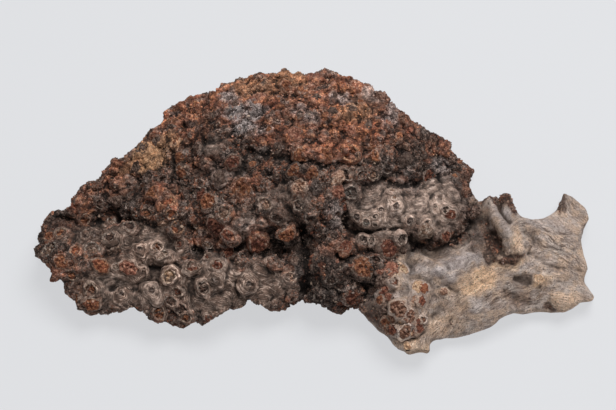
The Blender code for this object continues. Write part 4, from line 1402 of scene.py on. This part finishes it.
def woodGroup():
    group, inside, outside = newGroup(
        "woodColour", ["Place", "Grain"],
        {"Ochre": 0.0, "Stainandshade": 0.0, "Streak": 0.0, "Lilac": 0.0, "Hollow": 0.0, "Broad": 0.0},
        {"Colour": "colour", "Height": "value", "Rough": "value"})
    ins = inside.outputs
    fibre = placed(group, fibres, {"Grain": ins["Grain"], "Fineness": 1.7})
    coarse = placed(group, fibres, {"Grain": ins["Grain"], "Fineness": 0.72})
    grain = placed(group, grains, {"Place": ins["Place"], "Size": 2.2})
    place = stretched(group, ins["Place"], inMillimetres)

    def over(under, share, name, most):
        return mixed(group, times(group, share, most), under, woodTones[name])

    cloud = spread(group, noiseNode(group, place, 0.05, 4.0, 0.6), 0.4, 0.6)
    warm = spread(group, noiseNode(group, place, 0.11, 3.0, 0.6), 0.44, 0.6)
    base = over(mixed(group, cloud, *woodPairs["grey"]), warm, "warm", 0.6)
    base = mixed(group, times(group, ins["Lilac"], 0.85), base, mixed(group, cloud, *woodPairs["lilac"]))
    colour = over(base, fibre["Light"], "fibre", 0.3)
    colour = over(colour, fibre["Gap"], "gap", 0.3)
    ochre = over(mixed(group, fibre["Light"], *woodPairs["ochre"]), fibre["Gap"], "ochreGap", 0.3)
    ochreShare = times(group, ins["Ochre"], spread(group, cloud, 0.0, 0.7, 0.5, 1.0))
    colour = mixed(group, ochreShare, colour, ochre)
    # brown lines follow the grain, fewer of them where the wood is ochre
    lines = maths(group, "ADD", ins["Streak"], times(group, ins["Ochre"], -0.4))
    lines = times(group, maths(group, "ADD", lines, 0.12, clamp=True), coarse["Gap"])
    colour = over(colour, lines, "line", 0.75)
    blotch = noiseNode(group, stretched(group, ins["Grain"], (0.62, 0.16, 0.16)), 1.0, 5.0, 0.72)
    blotch = mixed(group, ins["Streak"], spread(group, blotch, 0.38, 0.62, 0.84, 1.24),
                   spread(group, blotch, 0.38, 0.62, 0.7, 1.34))
    colour = mixed(group, 1.0, colour, blotch, "MULTIPLY")
    # rests of bark in the stain patches, which also carry painted shadow, specks, and painted shade in the
    # hollows and broad valleys
    stainAndShade = mixed(group, grain["Mask"], *woodPairs["stainAndShade"])
    stainAndShade = mixed(group, spread(group, grain["Number"], 0.75, 0.85), stainAndShade, woodTones["stainAndShadeGrain"])
    colour = mixed(group, times(group, ins["Stainandshade"], 0.95), colour, stainAndShade)
    colour = over(colour, spread(group, noiseNode(group, place, 0.9, 2.0, 0.6), 0.555, 0.64), "speck", 0.75)
    colour = over(colour, spread(group, ins["Hollow"], 0.0, -0.8), "hollow", 0.8)
    colour = over(colour, spread(group, ins["Broad"], -0.1, -0.9), "broadShade", 0.6)
    height = maths(group, "ADD", times(group, fibre["Light"], 0.5), times(group, grain["Height"], 0.6))
    gaps = maths(group, "ADD", times(group, fibre["Gap"], 0.4),
                 times(group, coarse["Gap"], spread(group, ins["Streak"], 0.0, 1.0, 0.3, 0.8)))
    putOut(group, outside, {"Colour": colour, "Height": maths(group, "SUBTRACT", height, gaps),
                            "Rough": spread(group, fibre["Light"], 0.0, 1.0, 0.85, 0.66)})
    return group


barkColour, woodColour = barkGroup(), woodGroup()


def newMaterial(name):
    material = bpy.data.materials.new(name)
    material.use_nodes = True
    tree = material.node_tree
    shader = tree.nodes["Principled BSDF"]
    shader.inputs["Specular IOR Level"].default_value = 0.28
    return material, tree, shader


def attribute(tree, name, output="Fac"):
    node = tree.nodes.new("ShaderNodeAttribute")
    node.attribute_name = name
    return node.outputs[output]


def blended(tree, share, a, b):
    # a number between two numbers
    node = tree.nodes.new("ShaderNodeMix")
    for source, socket in ((share, 0), (a, 2), (b, 3)):
        connect(tree, source, node.inputs[socket])
    return node.outputs[0]


def placeOf(tree):
    return tree.nodes.new("ShaderNodeTexCoord").outputs["Object"]


def bumped(tree, height, distance, strength, shader):
    bump = tree.nodes.new("ShaderNodeBump")
    bump.inputs["Distance"].default_value = distance
    bump.inputs["Strength"].default_value = strength
    connect(tree, height, bump.inputs["Height"])
    tree.links.new(bump.outputs[0], shader.inputs["Normal"])


def barkInputs(tree, place, grain, tone):
    values = {key.capitalize(): attribute(tree, key) for key in barkShares}
    return {**values, "Place": place, "Grain": grain, "Tone": tone}


bodyFinish = {"underTone": (0.1, 0.06, 0.04), "underShare": 0.85, "bump": 1.2 * mm}
crumbFinish = {"flakeTone": (0.42, 0.3, 0.22), "flakeShare": 0.7, "bump": 0.8 * mm}
# the painted shade in a bud's crack, and what its gaps multiply the core's and the rim's colour by
budFinish = {"crackShade": (0.014, 0.0095, 0.008), "coreGap": (0.5, 0.42, 0.4), "rimGap": (0.3, 0.26, 0.24),
             "bump": 0.7 * mm}


def bodyMaterial():
    material, tree, shader = newMaterial("barkAndWood")
    place = placeOf(tree)
    grain = attribute(tree, "grain", "Vector")
    hollows = {"Hollow": attribute(tree, "hollow"), "Broad": attribute(tree, "broad")}
    bark = placed(tree, barkColour, {**barkInputs(tree, place, grain, attribute(tree, "number")), **hollows})
    looks = {key.capitalize(): attribute(tree, key) for key in woodShares}
    wood = placed(tree, woodColour, {"Place": place, "Grain": grain, **looks, **hollows})
    share = attribute(tree, "wood")
    under = attribute(tree, "under")
    colour = mixed(tree, share, bark["Colour"], wood["Colour"])
    hidden = mixed(tree, 0.4, wood["Colour"], bodyFinish["underTone"])
    colour = mixed(tree, times(tree, under, bodyFinish["underShare"]), colour, hidden)
    tree.links.new(colour, shader.inputs["Base Color"])
    tree.links.new(blended(tree, share, bark["Rough"], wood["Rough"]), shader.inputs["Roughness"])
    bumped(tree, blended(tree, share, bark["Height"], wood["Height"]), bodyFinish["bump"], 1.0, shader)
    return material


def crumbMaterial():
    material, tree, shader = newMaterial("barkCrumb")
    place = placeOf(tree)
    bark = placed(tree, barkColour, barkInputs(tree, place, place, attribute(tree, "tone")))
    flake = spread(tree, attribute(tree, "tone"), 0.96, 0.97)
    flake = times(tree, flake, crumbFinish["flakeShare"])
    colour = mixed(tree, flake, bark["Colour"], crumbFinish["flakeTone"])
    tree.links.new(colour, shader.inputs["Base Color"])
    tree.links.new(bark["Rough"], shader.inputs["Roughness"])
    bumped(tree, bark["Height"], crumbFinish["bump"], 0.8, shader)
    return material


def budMaterial():
    material, tree, shader = newMaterial("bud")
    place = placeOf(tree)
    grainAcross = attribute(tree, "grain", "Vector")
    bark = placed(tree, barkColour, barkInputs(tree, place, grainAcross, attribute(tree, "tone")))
    wood = placed(tree, woodColour, {"Place": place, "Grain": grainAcross, "Ochre": attribute(tree, "ochre"),
                                     "Stainandshade": attribute(tree, "stainAndShade")})
    flank = mixed(tree, attribute(tree, "wood"), bark["Colour"], wood["Colour"])
    grain = placed(tree, grains, {"Place": place, "Size": 2.2})
    near = stretched(tree, place, inMillimetres)
    fray = noiseNode(tree, near, 0.55, 3.0, 0.65)
    step = maths(tree, "ADD", attribute(tree, "step"), maths(tree, "MULTIPLY_ADD", fray, 0.45, -0.225))
    # the core is blotched, with grains of the rim's colour
    blotch = noiseNode(tree, near, 0.34, 5.0, 0.72)
    core = mixed(tree, spread(tree, blotch, 0.44, 0.58), attribute(tree, "core", "Color"),
                 attribute(tree, "core2", "Color"))
    rimColour = attribute(tree, "rim", "Color")
    core = mixed(tree, spread(tree, grain["Number"], 0.9, 0.97, 0.0, 0.6), core, rimColour)
    core = mixed(tree, grain["Mask"], mixed(tree, 1.0, core, budFinish["coreGap"], "MULTIPLY"), core)
    # the rim is worn through to the flank in places
    rimGap = mixed(tree, 1.0, rimColour, budFinish["rimGap"], "MULTIPLY")
    rim = mixed(tree, grain["Mask"], rimGap, rimColour)
    worn = spread(tree, noiseNode(tree, near, 0.3, 2.0, 0.5), 0.4, 0.55)
    rim = mixed(tree, times(tree, worn, attribute(tree, "rimShare")), flank, rim)
    past = maths(tree, "SUBTRACT", step, attribute(tree, "edge"))
    rim = mixed(tree, spread(tree, past, 0.28, 0.36), rim, flank)
    # painted shade in the crack between core and rim
    broken = times(tree, spread(tree, past, -0.04, 0.04), spread(tree, fray, 0.38, 0.56, 0.3, 1.0))
    crackShade = mixed(tree, times(tree, broken, attribute(tree, "crackShade")), core, budFinish["crackShade"])
    colour = mixed(tree, spread(tree, past, -0.04, 0.06), core, crackShade)
    colour = mixed(tree, spread(tree, past, 0.08, 0.13), colour, rim)
    tree.links.new(colour, shader.inputs["Base Color"])
    tree.links.new(bark["Rough"], shader.inputs["Roughness"])
    bumped(tree, grain["Height"], budFinish["bump"], 0.9, shader)
    return material


burlBody.data.shade_smooth()
bodyLook, budLook, crumbLook = bodyMaterial(), budMaterial(), crumbMaterial()
looks = ((burlBody, bodyLook), (budRings, budLook), (budKnobs, budLook), (budTeeth, budLook),
         (crumbsFront, crumbLook), (crumbsBack, crumbLook))
for piece, look in looks:
    piece.data.materials.append(look)
    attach(piece, "root")
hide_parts("burl")
print("materials placed")


# Floor, light and camera

studio = {
    # the floor is lit through as well, which keeps the shadows on it faint
    "floor": {"colour": (0.13, 0.1315, 0.135), "glow": (0.589, 0.597, 0.615), "size": 30},
    "softbox": {"size": 1.5, "place": (0.5, 0.35, 2.1), "aim": (0, 0, 0.05), "power": 50},
    "sky": {"colour": (0.985, 0.99, 1), "strength": 0.34},
}


def makeFloor():
    bpy.ops.mesh.primitive_plane_add(size=studio["floor"]["size"])
    floor = bpy.context.object
    floor.name = "floor"
    material, tree, shader = newMaterial("paleFloor")
    values = {"Base Color": (*studio["floor"]["colour"], 1), "Emission Color": (*studio["floor"]["glow"], 1),
              "Emission Strength": 1, "Roughness": 0.9, "Specular IOR Level": 0.1}
    for key, value in values.items():
        shader.inputs[key].default_value = value
    floor.data.materials.append(material)


def makeSoftbox():
    box = studio["softbox"]
    light = bpy.data.lights.new("softbox", "AREA")
    light.shape = "DISK"
    light.size = box["size"]
    light.energy = box["power"]
    obj = newObject("softbox", light)
    obj.location = box["place"]
    obj.rotation_euler = (Vector(box["aim"]) - obj.location).to_track_quat("-Z", "Y").to_euler()


def makeSky():
    world = bpy.data.worlds.new("sky")
    world.use_nodes = True
    background = world.node_tree.nodes["Background"]
    background.inputs["Color"].default_value = (*studio["sky"]["colour"], 1)
    background.inputs["Strength"].default_value = studio["sky"]["strength"]
    bpy.context.scene.world = world
    bpy.context.scene.view_settings.view_transform = "Standard"


def makeCamera():
    data = bpy.data.cameras.new("camera")
    data.sensor_width = view["sensor"]
    data.lens = view["sensor"] * view["distance"] / (view["width"] * view["pixel"])
    obj = newObject("camera", data)
    turn = Matrix((Vector((1, 0, 0)), pictureUp, toEye)).transposed().to_4x4()
    obj.matrix_world = Matrix.Translation(eye) @ turn
    bpy.context.scene.camera = obj


makeFloor()
makeSoftbox()
makeSky()
makeCamera()

bpy.context.view_layer.update()
print("scene ready")
